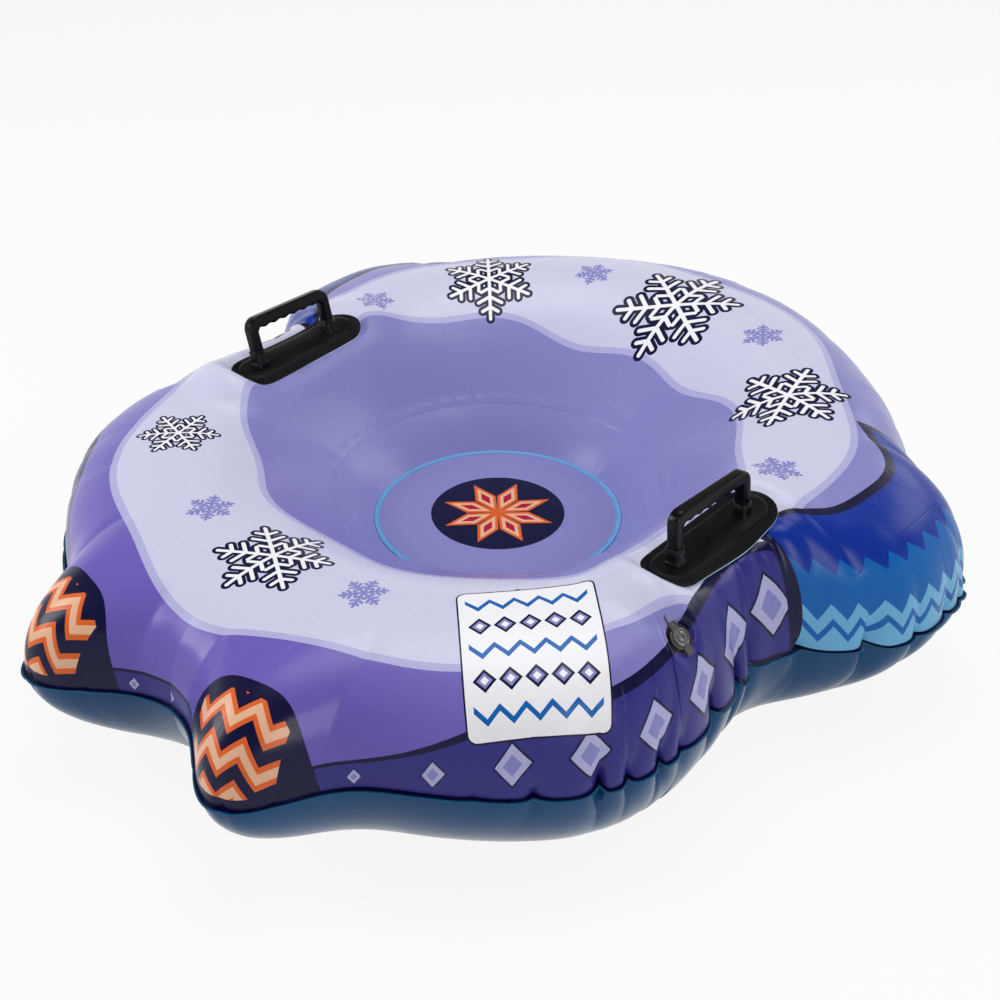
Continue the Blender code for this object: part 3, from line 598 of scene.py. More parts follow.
# Creases where the outline bends inward: direction in degrees, depth, and half width in degrees
ROOT_CREASES = ((-84.5, 0.0030, 1.2), (-65.5, 0.0028, 1.3), (-5.5, 0.0022, 1.1),
                (-1.0, 0.0040, 1.0), (2.6, 0.0052, 0.9), (6.0, 0.0036, 0.9),
                (9.5, 0.0026, 1.2), (34.0, 0.0030, 1.3), (38.5, 0.0022, 1.6))
ROOT_CREASE_SLANT = 3.0
ROOT_CREASE_FADE = 1.5


def root_creases(angle, share):
    """Radial creases on the outer slope beside the lobes; share runs from the crest to the seam."""
    turn = folded_angle(angle) + ROOT_CREASE_SLANT * (share - 0.5)
    total = 0
    for middle, depth, half in ROOT_CREASES:
        total += depth * math.exp(-(abs(turn - middle) / half) ** FOLD_CUSP)
    return total * math.sin(math.pi * min(max(share, 0), 1)) ** ROOT_CREASE_FADE


# Distances out from the patch's edge
SWELL_REACH = 0.018
SWELL_SIDE_SHARE = 0.3
SWELL_END = 0.075
SWELL_FADE = 0.045


def handle_swell(shape, folds, handle, x, y):
    """How far the filled skin stands up around the stiff patches, most in front of them."""
    total = 0
    for side in (1, -1):
        middle_x, middle_y = handle_middle(shape, handle, side)
        straight = (handle.patch_length - handle.patch_width) / 2
        along = y - middle_y - handle.patch_shift
        off_y = along - min(max(along, -straight), straight)
        off_x = x - middle_x
        reach = math.hypot(off_x, off_y)
        gap = reach - handle.patch_width / 2
        if 0 < gap < SWELL_END:
            ahead = max(-off_y / reach, 0)
            high = SWELL_SIDE_SHARE + (1 - SWELL_SIDE_SHARE) * ahead ** 2
            fade = ease((SWELL_END - gap) / SWELL_FADE)
            bulge = gap / SWELL_REACH * math.exp(1 - gap / SWELL_REACH)
            total += folds.handle_swell * high * fade * bulge
    return total


DIMPLE_LENGTH = 0.033
DIMPLE_WIDTH = 0.021
DIMPLE_DEPTH = 0.0024
DIMPLE_RIDGE = 0.0018
# As shares of the dimple's length and width
DIMPLE_BOWL = 0.72
DIMPLE_LIP = 1.15
DIMPLE_LIP_WIDTH = 0.2
DIMPLE_END = 2


def valve_frame(valve):
    """Matrix at the middle of the valve's cup: Z outward, X down the slope to the strap's hinge."""
    outward = Vector(JOINTS["stem_pull"]["axis"]).normalized()
    across = Vector(JOINTS["plug_open"]["axis"]).normalized()
    down = across.cross(outward)
    hinge = Vector(JOINTS["plug_open"]["pos_m"])
    middle = hinge - down * valve.strap_reach - outward * (RIM_TOP + WELD_GAP / 2)
    axes = Matrix((down, across, outward)).transposed().to_4x4()
    return Matrix.Translation(middle) @ axes


STEM_RIM = 0.0014
RIM_TOP = WELD_GAP + STEM_RIM


def valve_dimple(place, point):
    """How far the skin sinks around the valve, with a raised lip outside."""
    local = place.inverted() @ point
    off = math.hypot(local.x / DIMPLE_LENGTH, local.y / DIMPLE_WIDTH)
    if off > DIMPLE_END:
        return 0
    lip = math.exp(-((off - DIMPLE_LIP) / DIMPLE_LIP_WIDTH) ** 2)
    return DIMPLE_DEPTH * math.exp(-(off / DIMPLE_BOWL) ** 4) - DIMPLE_RIDGE * lip


def seam_flange(shape, folds, column, seam, face, sheet):
    """The welded rim outside the seam, at one face of a sheet, and the sheet's cut edge."""
    pull = column.pull()
    start = seam[0] - pull * folds.gather_pull
    height = seam[1] + face + pull * folds.gather_rise
    return [polar(column.angle, start + shape.flange_width * share,
                  height - FLANGE_DROOP * pull * share + step)
            for share, step in ((PRINTED_RIM_SHARE, 0), (1, 0), (1, sheet))]


FLANGE_DROOP = 0.0022
PRINTED_RIM_SHARE = 0.6


def make_top_sheet(shape, folds, valve, handle, surfaces):
    """Top sheet: seat lap, inner slope, crest, outer slope, seam flange and its cut edge."""
    columns, outline = outline_columns(shape, folds)
    weld, weld_height = weld_point(shape)
    slope = shape.wall_rise / shape.wall_spread
    place = valve_frame(valve)
    outward = place.to_3x3().col[2]
    print_start = math.hypot(shape.wall_spread, shape.wall_rise)
    print_start += shape.floor_radius - shape.weld_lap
    points, flat, seam = [], [], []
    for column in columns:
        angle = column.angle
        turn = math.radians(angle)
        line = []
        for i in range(LAP_ROWS):
            radius = weld - shape.weld_lap * (1 - i / LAP_ROWS)
            line.append((radius, weld_height - (weld - radius) * slope))
        line += along_curve(inner_curve(shape, angle), INNER_ROWS)[:-1]
        line += along_curve(outer_curve(shape, angle), OUTER_ROWS)
        along = walked(line)
        made, on_flat, on_seam = [], [], []
        for row, ((radius, height), (out, up)) in enumerate(zip(line, square_to(line))):
            inset = along[-1] - along[row]
            sunk = column.fold(inset) * folds.fold_depth
            sunk += weld_dents(folds, weld, radius, angle) + pinches(angle, radius - weld)
            sunk += root_creases(angle, (row - LAP_ROWS - INNER_ROWS) / OUTER_ROWS)
            pull = column.pull(inset)
            height += folds.gather_rise * pull
            height += handle_swell(shape, folds, handle,
                                   radius * math.cos(turn), radius * math.sin(turn))
            point = polar(angle, radius - out * sunk - pull * folds.gather_pull,
                          height - up * sunk + SKIN_FACE)
            made.append(point - outward * valve_dimple(place, point))
            reach = print_start + along[row]
            on_flat.append((math.cos(turn) * reach, math.sin(turn) * reach))
            on_seam.append((column.distance, inset))
        rim = seam_flange(shape, folds, column, line[-1], SKIN_FACE, -SHEET)
        made += rim
        on_flat += on_flat[-1:] * len(rim)
        on_seam += [(column.distance, 0)] * len(rim)
        points.append(made)
        flat.append(on_flat)
        seam.append(on_seam)
    flat.append(flat[0])
    seam.append([(outline, inset) for _, inset in seam[0]])
    maps = {"flat_print": flat, "seam_print": seam}
    piece = make_sheet("top_sheet", points, surfaces, maps, edge_rows=2)
    open_valve_hole(piece, place, valve.cup_radius)
    return piece


def open_valve_hole(piece, place, radius):
    """Removes the skin over the valve's cup and draws the hole's rim to a circle."""
    bm = bmesh.new()
    bm.from_mesh(piece.data)
    into = place.inverted()
    around = [edge for edge in bm.edges
              if (into @ ((edge.verts[0].co + edge.verts[1].co) / 2)).length < radius * HOLE_REACH]
    bmesh.ops.subdivide_edges(bm, edges=around, cuts=HOLE_CUTS, use_grid_fill=True)
    inside = []
    for vert in bm.verts:
        local = into @ vert.co
        if math.hypot(local.x, local.y) < radius and abs(local.z) < radius:
            inside.append(vert)
    rim = {other for vert in inside for face in vert.link_faces for other in face.verts}
    rim -= set(inside)
    bmesh.ops.delete(bm, geom=inside, context="VERTS")
    for vert in rim:
        local = into @ vert.co
        size = math.hypot(local.x, local.y)
        vert.co = place @ Vector((local.x * radius / size, local.y * radius / size, -CUP_RIM_DROP))
    bm.to_mesh(piece.data)
    bm.free()


HOLE_REACH = 1.6
HOLE_CUTS = 3


def make_seat_sheet(shape, surfaces):
    """Seat sheet: the floor inside its weld ring, and the wall up under the top sheet's lap."""
    weld = weld_point(shape)[0]
    wall = weld - shape.weld_lap + WALL_TUCK - shape.floor_radius
    slope = shape.wall_rise / shape.wall_spread
    points, flat, seam = [], [], []
    for c in range(SEAT_COLUMNS):
        angle = 360 * c / SEAT_COLUMNS
        turn = math.radians(angle)
        line = [(shape.floor_radius * i / FLOOR_ROWS, shape.seat_height) for i in range(FLOOR_ROWS)]
        for i in range(WALL_ROWS + 1):
            radius = shape.floor_radius + wall * i / WALL_ROWS
            line.append((radius, shape.seat_height + (radius - shape.floor_radius) * slope))
        made, on_flat = [], []
        for (radius, height), travelled in zip(line, walked(line)):
            gap = radius - shape.floor_radius
            puff = 0
            if gap < 0:
                puff = FLOOR_PUFF * math.sin(math.pi / 2 * min(-gap / FLOOR_PUFF_RUN, 1))
            if gap > 0:
                puff = WALL_PUFF * math.sin(math.pi * gap / wall) - WALL_DROP
            sunk = pinches(angle + SEAT_PINCH_TURN, gap) * (1 if gap > 0 else FLOOR_PINCH_SHARE)
            made.append(polar(angle, radius, height + SHEET / 2 + puff - sunk))
            on_flat.append((math.cos(turn) * travelled, math.sin(turn) * travelled))
        points.append(made)
        flat.append(on_flat)
        seam.append([(0, FAR_FROM_SEAM)] * len(made))
    flat.append(flat[0])
    seam.append(seam[0])
    maps = {"flat_print": flat, "seam_print": seam}
    return merged(make_sheet("seat_sheet", points, surfaces, maps))


FAR_FROM_SEAM = 1
SEAT_PINCH_TURN = 3
FLOOR_PINCH_SHARE = 0.5
WALL_TUCK = 0.004
WALL_DROP = SHEET * 0.8
FLOOR_PUFF = 0.0022
FLOOR_PUFF_RUN = 0.035
WALL_PUFF = 0.0028


def make_floor_ring(shape, surfaces):
    """The pressed weld ring on the seat floor: a low flat bead with thin raised edges."""
    inner = shape.floor_radius - shape.ring_width
    base = shape.seat_height + SHEET / 2 + WELD_GAP / 2
    columns = []
    for c in range(SEAT_COLUMNS):
        columns.append([polar(360 * c / SEAT_COLUMNS, inner + shape.ring_width * across,
                              base + RING_RISE * up) for across, up in RING_PROFILE])
    return make_sheet("seat_floor_ring", columns, surfaces)


RING_RISE = 0.0011
# Across as a share of the ring's width, and up as a share of its rise
RING_PROFILE = ((0, 0), (0.06, 1), (0.2, 0.62), (0.8, 0.62), (0.94, 1), (1, 0))


def make_base_sheet(shape, folds, surfaces):
    """Base sheet: floor, under-seat well, contact ring, bulge, seam flange and its cut edge."""
    columns = outline_columns(shape, folds)[0]
    weld = weld_point(shape)[0]
    floor = shape.seat_height - SHEET - BASE_SHEET
    points = []
    for column in columns:
        angle = column.angle
        line = [(shape.floor_radius * i / UNDER_ROWS, floor) for i in range(1, UNDER_ROWS + 1)]
        line.append((weld, shape.seat_height - shape.wall_rise))
        line += along_curve(well_curve(shape), WELL_ROWS)[1:]
        line += along_curve(lower_curve(shape, angle), LOWER_ROWS)
        along = walked(line)
        seam = line[-1][1]
        made = []
        for row, ((radius, height), (out, up)) in enumerate(zip(line, square_to(line))):
            inset = along[-1] - along[row]
            sunk = BASE_FOLD_SHARE * column.fold(inset) * folds.fold_depth
            sunk *= ease(height / BASE_FOLD_RISE)
            pull = column.pull(inset)
            lift = folds.gather_rise * pull * height / seam
            face = GROUND_GAP - BASE_FACE * height / seam
            made.append(polar(angle, radius + out * sunk - pull * folds.gather_pull,
                              max(height + up * sunk, 0) + lift + face))
        points.append(made + seam_flange(shape, folds, column, line[-1], -WELD_GAP, BASE_SHEET))
    return make_sheet("base_sheet", points, surfaces, flip=True, edge_rows=1)


UNDER_ROWS = 3
BASE_FOLD_SHARE = 0.8
BASE_FOLD_RISE = 0.03
BASE_FACE = 0.0008
GROUND_GAP = 0.0003


def handle_middle(shape, handle, side):
    """The handles sit alike on both sides of a line a little to the right of the seat's middle."""
    return side * (crest(shape, WAIST_ANGLE)[0] + handle.outset) + handle.offset, handle.along


def handle_frame(shape, handle, side):
    """Matrix at the grip's middle on its plate: X across, Y along the sled, Z up the legs."""
    x, y = handle_middle(shape, handle, side)
    seat = top_point(shape, x, y) + top_normal(shape, x, y) * PLATE_FACE
    lean = handle.right_lean if side > 0 else handle.left_lean
    return Matrix.Translation(SEAT_MIDDLE + seat) @ Matrix.Rotation(lean, 4, "Y")


PLATE_THICKNESS = 0.002
PLATE_GAP = 0.0005
PLATE_FACE = SKIN_FACE + PLATE_GAP + PLATE_THICKNESS
PATCH_SHEET = 0.0008
PATCH_EDGE = 0.0012
PATCH_BORDER = 0.0104
PATCH_RIB = 0.0009
PATCH_RISE_WIDTH = 0.006
PATCH_OVERHANG = 0.001
RIB_STEPS = 6
PATCH_INSETS = (0, 0.0003, 0.0012, 0.0022, 0.0040, 0.0058, 0.0076, 0.0092, 0.0102,
                0.0112, 0.0126, 0.0140, 0.0155, 0.0180, 0.0220, 0.0270, 0.0330)


def oval_stations(length, width, count):
    """Round an oval with round ends: each station's place on the middle line, and way outward."""
    straight = length - width
    arc = math.pi * width / 2
    stations = []
    for i in range(count):
        half, walk = divmod(2 * (straight + arc) * i / count, straight + arc)
        side = -1 if half else 1
        turn = math.pi * max(walk - straight, 0) / arc
        middle = min(walk, straight) - straight / 2
        stations.append((side * middle, (side * math.cos(turn), side * math.sin(turn))))
    return stations


def draped_oval(name, shape, centre, length, width, insets, count, lift_at, surfaces, edge_rows=0):
    """An oval sheet laid on the top sheet, from its edge inwards, at lift_at's height above it."""
    columns = []
    for number, (middle, (dx, dy)) in enumerate(oval_stations(length, width, count)):
        column = []
        for inset in reversed(insets):
            reach = max(width / 2 - inset, 0)
            x, y = centre[0] + dx * reach, centre[1] + middle + dy * reach
            point = top_point(shape, x, y)
            point.z += SKIN_FACE + lift_at(inset, number)
            column.append(SEAT_MIDDLE + point)
        columns.append(column)
    return merged(make_sheet(name, columns, surfaces, edge_rows=edge_rows))


def make_patch(shape, handle, side, label, surfaces):
    """Welded patch with a ribbed border, drawn up over the plate."""
    x, y = handle_middle(shape, handle, side)
    perimeter = 2 * (handle.patch_length - handle.patch_width) + math.pi * handle.patch_width
    ribs = round(perimeter / handle.rib_pitch)
    top_of_rise = (handle.patch_width - handle.plate_width) / 2 - PATCH_OVERHANG

    def lift_at(inset, number):
        lift = WELD_GAP + (PATCH_SHEET if inset > 0 else 0)
        rib = PATCH_RIB * (1 + math.cos(2 * math.pi * number / RIB_STEPS)) / 2
        if PATCH_EDGE < inset < PATCH_BORDER:
            lift += rib
        rise = ease(1 + (inset - top_of_rise) / PATCH_RISE_WIDTH)
        return lift + (PLATE_THICKNESS + WELD_GAP) * rise

    return draped_oval("handle_patch_sheet_" + label, shape, (x, y + handle.patch_shift),
                       handle.patch_length, handle.patch_width, PATCH_INSETS, ribs * RIB_STEPS,
                       lift_at, surfaces, edge_rows=1)


def leg_ring(handle, grow):
    """Outline of a leg's section, grown outward."""
    half_x = handle.depth / 2 + grow
    half_y = handle.leg / 2 + grow
    corner = LEG_EDGE + grow
    points = []
    for quarter, (sx, sy) in enumerate(((1, 1), (-1, 1), (-1, -1), (1, -1))):
        points += arc(sx * (half_x - corner), sy * (half_y - corner), corner,
                      90 * quarter, 90 * quarter + 90)
    return points


LEG_EDGE = 0.003
BOSS_HEIGHT = 0.017
BOSS_WALL = 0.0017
BOSS_FLARE = 0.0018
BOSS_FLARE_HEIGHT = 0.006
BOSS_LIP = 0.0005
FLARE_ROWS = 7
LEG_FLOOR = 0.0053


def stacked(bm, rows):
    """Adds a closed solid through rings of points, bottom first."""
    rings = [[bm.verts.new(point) for point in row] for row in rows]
    count = len(rings[0])
    for low, high in zip(rings, rings[1:]):
        for i in range(count):
            bm.faces.new((low[i], low[(i + 1) % count], high[(i + 1) % count], high[i]))
    bm.faces.new(list(reversed(rings[0])))
    bm.faces.new(rings[-1])


def make_mount(shape, handle, side, label, surfaces):
    """Moulded plate under the patch, and a flared boss around each leg."""
    x, y = handle_middle(shape, handle, side)
    length = handle.grip_span + 2 * PLATE_END_REACH
    plate = draped_oval("plate_" + label, shape, (x, y), length, handle.plate_width,
                        (*PLATE_INSETS, handle.plate_width / 2), PLATE_STATIONS,
                        lambda inset, number: WELD_GAP + PLATE_THICKNESS * (inset > 0), surfaces)
    bm = bmesh.new()
    bm.from_mesh(plate.data)
    bpy.data.objects.remove(plate)
    for end in (-1, 1):
        place = handle_frame(shape, handle, side)
        place @= Matrix.Translation((0, end * handle.grip_span / 2, 0))
        low = []
        for point in leg_ring(handle, BOSS_WALL + BOSS_FLARE):
            foot = place @ Vector((*point, 0))
            low.append(SEAT_MIDDLE + top_point(shape, foot.x, foot.y - SEAT_MIDDLE.y))
        rows = [[point + Vector((0, 0, PLATE_FACE + rise)) for point in low]
                for rise in (-PLATE_THICKNESS, PATCH_SHEET)]
        rings = []
        for i in range(1, FLARE_ROWS + 1):
            turn = math.pi / 2 * i / FLARE_ROWS
            rings.append((BOSS_WALL + BOSS_FLARE * (1 - math.sin(turn)),
                          PATCH_SHEET + BOSS_FLARE_HEIGHT * (1 - math.cos(turn))))
        rings += [(BOSS_WALL, BOSS_HEIGHT - BOSS_LIP), (BOSS_WALL - BOSS_LIP, BOSS_HEIGHT)]
        for grow, height in rings:
            rows.append([place @ Vector((*point, height)) for point in leg_ring(handle, grow)])
        stacked(bm, rows)
    return bmesh_piece("handle_mount_" + label, bm, surfaces)


PLATE_END_REACH = 0.020
PLATE_STATIONS = 96
PLATE_INSETS = (0, 0.0005, 0.006, 0.014)
GRIP_CORNER = 0.015
GRIP_INNER_CORNER = 0.004
GRIP_EDGE = 0.003
GRIP_EDGE_STEPS = 5
GRIP_MERGE_REACH = WELD_GAP / 30
FINGER_GROOVES = 6
FINGER_WAVE = 0.0009
WAVE_STEPS = 16


def grip_outline(handle):
    """Closed outline of the grip as (along, up): outer edge first, then the wavy inner edge."""
    half = handle.grip_span / 2 + handle.leg / 2
    inner = handle.grip_span / 2 - handle.leg / 2
    under = handle.grip_height - handle.bar
    points = [(-half, LEG_FLOOR)]
    for side, start in ((-1, 180), (1, 90)):
        points += arc(side * (half - GRIP_CORNER), handle.grip_height - GRIP_CORNER, GRIP_CORNER,
                      start, start - 90)
    points += [(half, LEG_FLOOR), (inner, LEG_FLOOR), (inner, under - GRIP_INNER_CORNER)]
    steps = WAVE_STEPS * FINGER_GROOVES
    start = inner - GRIP_INNER_CORNER
    for i in range(steps + 1):
        wave = FINGER_WAVE * math.cos(2 * math.pi * FINGER_GROOVES * i / steps)
        points.append((start - 2 * start * i / steps, under + wave - FINGER_WAVE))
    points += [(-inner, under - GRIP_INNER_CORNER), (-inner, LEG_FLOOR)]
    return points


def make_grip(shape, handle, side, label, surfaces):
    """Moulded grip: a flat outline with rounded edges."""
    curve = bpy.data.curves.new("grip_outline", "CURVE")
    curve.dimensions = "2D"
    curve.fill_mode = "BOTH"
    curve.extrude = handle.depth / 2 - GRIP_EDGE
    curve.bevel_depth = GRIP_EDGE
    curve.bevel_resolution = GRIP_EDGE_STEPS
    curve.offset = -GRIP_EDGE
    spline = curve.splines.new("POLY")
    outline = grip_outline(handle)
    spline.points.add(len(outline) - 1)
    for point, (along, up) in zip(spline.points, outline):
        point.co = (along, up, 0, 1)
    spline.use_cyclic_u = True
    guide = add_object("grip_outline", curve)
    rounded = guide.evaluated_get(bpy.context.evaluated_depsgraph_get())
    solid = bpy.data.meshes.new_from_object(rounded)
    bpy.data.objects.remove(guide)
    bm = bmesh.new()
    bm.from_mesh(solid)
    bmesh.ops.remove_doubles(bm, verts=bm.verts, dist=GRIP_MERGE_REACH)
    stand = Matrix(((0, 0, 1, 0), (1, 0, 0, 0), (0, 1, 0, 0), (0, 0, 0, 1)))
    place = handle_frame(shape, handle, side) @ stand
    return bmesh_piece("grab_handle_" + label, bm, surfaces, place)


def closed_loop(bm, rings):
    """Adds a closed tube through rings of points, from the last back to the first."""
    rings = [[bm.verts.new(point) for point in ring] for ring in rings]
    for this, following in zip(rings, rings[1:] + rings[:1]):
        for i in range(len(this)):
            after = (i + 1) % len(this)
            bm.faces.new((this[i], this[after], following[after], following[i]))


def turned(profile):
    """A (radius, height) profile at each step of a turn about Z, as rings of points."""
    rings = []
    for i in range(TURN_STEPS):
        turn = 2 * math.pi * i / TURN_STEPS
        rings.append([(radius * math.cos(turn), radius * math.sin(turn), height)
                      for radius, height in profile])
    return rings


def rectangle(start, end, half):
    return [(start, half), (start, -half), (end, -half), (end, half)]


def tongue(start, end, half):
    """Outline of a tab that runs towards -X to a round end."""
    return [(start, half), (start, -half)] + arc(end + half, 0, half, -90, -270, 2 * CORNER_STEPS)


def drawn_in(outline, share):
    """The outline, drawn in to a share of its size about its middle."""
    middle = sum(x for x, y in outline) / len(outline)
    return [(middle + (x - middle) * share, y * share) for x, y in outline]


def slab(bm, outline, low, high):
    """Adds a flat solid with softened upper edges."""
    soft = drawn_in(outline, SLAB_TAPER)
    shoulder = high - (high - low) * SLAB_SHOULDER
    rings = ((outline, low), (outline, shoulder), (soft, high))
    stacked(bm, [[(x, y, height) for x, y in ring] for ring, height in rings])


def bead(bm, outline, share, low, high):
    """Adds a raised bead between an outline and the same outline drawn in to a share of it."""
    inner = drawn_in(outline, share)
    rings = ((outline, low), (outline, high), (inner, high), (inner, low))
    closed_loop(bm, [[(x, y, height) for x, y in ring] for ring, height in rings])


SLAB_TAPER = 0.94
SLAB_SHOULDER = 0.35
CUP_WALL = 0.0010
CUP_RIM_DROP = 0.0006
CUP_FLANGE = 0.0200
CUP_FLANGE_DROP = 0.0075
COLLAR_LENGTH = 0.0080
PLUG_THICKNESS = 0.0020
PLUG_RIDGE = 0.0006
# Edges of the cap's rings as shares of its radius
PLUG_RING_SHARES = (0.86, 0.80, 0.58, 0.52, 0.36, 0.30)
STUB_LENGTH = 0.0060
STUB_TOP = 0.0049
STUB_TIP = 0.0038
STRAP_THICKNESS = 0.0014
RIB_SHARES = (0.64, 0.82)
RIB_HALF_LENGTH = 0.0028
RIB_HALF_WIDTH = 0.0007
RIB_HEIGHT = 0.0006
TAB_WEB_SHARE = 0.55
TAB_HOLE_SHARE = 0.70


def make_valve_cup(valve, place, surfaces):
    """Sunken cup with a rounded rim, and the collar that the stem slides in."""
    inside = valve.cup_radius - CUP_WALL
    bore = valve.stem_radius + WELD_GAP
    floor = -valve.cup_depth
    flange = -CUP_FLANGE_DROP
    low = flange - CUP_WALL
    outside, lip, end = valve.cup_radius, -CUP_RIM_DROP - CUP_WALL / 2, floor - COLLAR_LENGTH
    profile = [(inside, lip), (inside + CUP_WALL / 4, -CUP_RIM_DROP), (outside, -CUP_RIM_DROP),
               (outside + CUP_WALL / 4, lip), (outside, flange), (CUP_FLANGE, flange),
               (CUP_FLANGE, low), (outside, low), (outside, floor - CUP_WALL),
               (bore + CUP_WALL, floor - CUP_WALL),
               (bore + CUP_WALL, end), (bore, end), (bore, floor), (inside, floor)]
    bm = bmesh.new()
    closed_loop(bm, turned(profile))
    return bmesh_piece("valve_cup", bm, surfaces, place)


def make_valve_tube(valve, place, surfaces):
    """Stem with its flat rim, and the arm that the plug's strap hangs from."""
    lip = STEM_RIM / 4
    end = RIM_TOP - valve.stem_length
    profile = [(valve.stem_bore, RIM_TOP), (valve.rim_radius - lip, RIM_TOP),
               (valve.rim_radius, RIM_TOP - lip), (valve.rim_radius, WELD_GAP + lip),
               (valve.rim_radius - lip, WELD_GAP), (valve.stem_radius, WELD_GAP),
               (valve.stem_radius, end), (valve.stem_bore, end)]
    bm = bmesh.new()
    closed_loop(bm, turned(profile))
    arm = rectangle(valve.rim_radius - 2 * lip, valve.strap_reach, valve.strap_width / 2)
    slab(bm, arm, WELD_GAP, RIM_TOP)
    return bmesh_piece("valve_tube", bm, surfaces, place)


def make_valve_stopper(valve, place, surfaces):
    """Plug with a ringed cap and tapered stub, its strap, and its pull tab with two ribs."""
    low = RIM_TOP + WELD_GAP
    cap = low + PLUG_THICKNESS
    ridge = cap + PLUG_RIDGE
    lip = PLUG_RIDGE / 2
    edge = valve.plug_radius
    profile = [(STUB_TIP, low - STUB_LENGTH), (STUB_TOP, low), (edge - lip, low), (edge, low + lip),
               (edge, ridge - lip), (edge - lip, ridge)]
    for share, height in zip(PLUG_RING_SHARES, (ridge, cap, cap, ridge, ridge, cap)):
        profile.append((edge * share, height))
    bm = bmesh.new()
    stacked(bm, list(zip(*turned(profile))))
    half = valve.strap_width / 2
    start = edge * PLUG_RING_SHARES[0]
    slab(bm, rectangle(start, valve.strap_reach, half), low, low + STRAP_THICKNESS)
    tab = tongue(-start, -valve.tab_reach, half)
    slab(bm, tab, low, low + STRAP_THICKNESS * TAB_WEB_SHARE)
    bead(bm, tab, TAB_HOLE_SHARE, low, low + STRAP_THICKNESS + RIB_HEIGHT)
    for share in RIB_SHARES:
        middle = -valve.tab_reach * share
        rib = rectangle(middle + RIB_HALF_WIDTH, middle - RIB_HALF_WIDTH, RIB_HALF_LENGTH)
        slab(bm, rib, low + STRAP_THICKNESS * TAB_WEB_SHARE / 2, low + STRAP_THICKNESS)
    return bmesh_piece("valve_stopper", bm, surfaces, place)


def add_node(tree, kind, *values, out=0, named=None, stops=None, **settings):
    """Adds a node: values go to its inputs in order and a socket among them is linked."""
    node = tree.nodes.new("ShaderNode" + kind)
    for name, value in settings.items():
        setattr(node, name, value)
    inputs = list(zip(node.inputs, values))
    inputs += [(node.inputs[name], value) for name, value in (named or {}).items()]
    for socket, value in inputs:
        if isinstance(value, bpy.types.NodeSocket):
            tree.links.new(value, socket)
        elif value is not None:
            socket.default_value = value
    if stops:
        elements = node.color_ramp.elements
        while len(elements) < len(stops):
            elements.new(1)
        for element, (position, colour) in zip(elements, stops):
            element.position = position
            element.color = colour
    return node.outputs[out]


def new_surface(name, **named):
    """A material with one Principled shader; returns it with its node tree and shader."""
    surface = bpy.data.materials.new(name)
    surface.use_nodes = True
    shader = surface.node_tree.nodes["Principled BSDF"]
    for socket, value in named.items():
        shader.inputs[socket.replace("_", " ")].default_value = value
    return surface, surface.node_tree, shader


def slack_film(tree, shader, normal=None):
    """Bump of the slow slackness of a filled skin, over a finer normal where there is one."""
    place = add_node(tree, "TexCoord", out="Object")
    drift = add_node(tree, "TexNoise", place, None, 1000 / SLACK_MM, 0)
    broad = add_node(tree, "Bump", 1, SLACK_HEIGHT, named={"Height": drift, "Normal": normal})
    tree.links.new(broad, shader.inputs["Normal"])


def packing_folds(tree, flat):
    """Normal of the fine straight creases that are left from folding the sled into its box."""
    nearest = None
    for turn in PACKING_TURNS:
        local = add_node(tree, "Mapping", flat, (PACKING_SPACING / 2, 0, 0),
                         (0, 0, math.radians(turn)), vector_type="TEXTURE")
        gap = add_node(tree, "Math", add_node(tree, "SeparateXYZ", local), PACKING_SPACING / 2,
                       operation="PINGPONG")
        nearest = add_node(tree, "Math", nearest, gap, operation="MINIMUM") if nearest else gap
    groove = add_node(tree, "MapRange", nearest, 0, PACKING_WIDTH, 0, 1,
                      interpolation_type="SMOOTHSTEP")
    return add_node(tree, "Bump", 1, PACKING_DEPTH, named={"Height": groove})


SLACK_MM = 80
SLACK_HEIGHT = 0.0008
# Creases are drawn 4 mm wide, twice their real width, so that they show
PACKING_TURNS = (4, 93)
PACKING_SPACING = 0.215
PACKING_WIDTH = 0.002
PACKING_DEPTH = 0.00012


def uneven_roughness(tree, shader, ends):
    """Handling marks: slow patches that are a little duller."""
    place = add_node(tree, "TexCoord", out="Object")
    patches = add_node(tree, "TexNoise", place, None, 1000 / HANDLING_MM, 1)
    spread = add_node(tree, "MapRange", patches, *HANDLING_SPAN, *ends)
    tree.links.new(spread, shader.inputs["Roughness"])


HANDLING_MM = 45
HANDLING_SPAN = (0.25, 0.75)


def distance_from(tree, value, place):
    """How far a value is from a place on its own scale."""
    off = add_node(tree, "Math", value, place, operation="SUBTRACT")
    return add_node(tree, "Math", off, operation="ABSOLUTE")


def nearest_spoke(tree, place, count, start=0):
    """Distance from the middle, and place along and across the nearest of a wheel's spokes."""
    reach = add_node(tree, "VectorMath", place, operation="LENGTH", out="Value")
    x = add_node(tree, "SeparateXYZ", place)
    spin = add_node(tree, "Math", x.node.outputs["Y"], x, operation="ARCTAN2")
    spin = add_node(tree, "Math", spin, start, operation="SUBTRACT")
    fold = add_node(tree, "Math", spin, math.pi / count, operation="PINGPONG")
    along, across = (add_node(tree, "Math", reach, add_node(tree, "Math", fold, operation=part),
                              operation="MULTIPLY") for part in ("COSINE", "SINE"))
    return reach, along, across


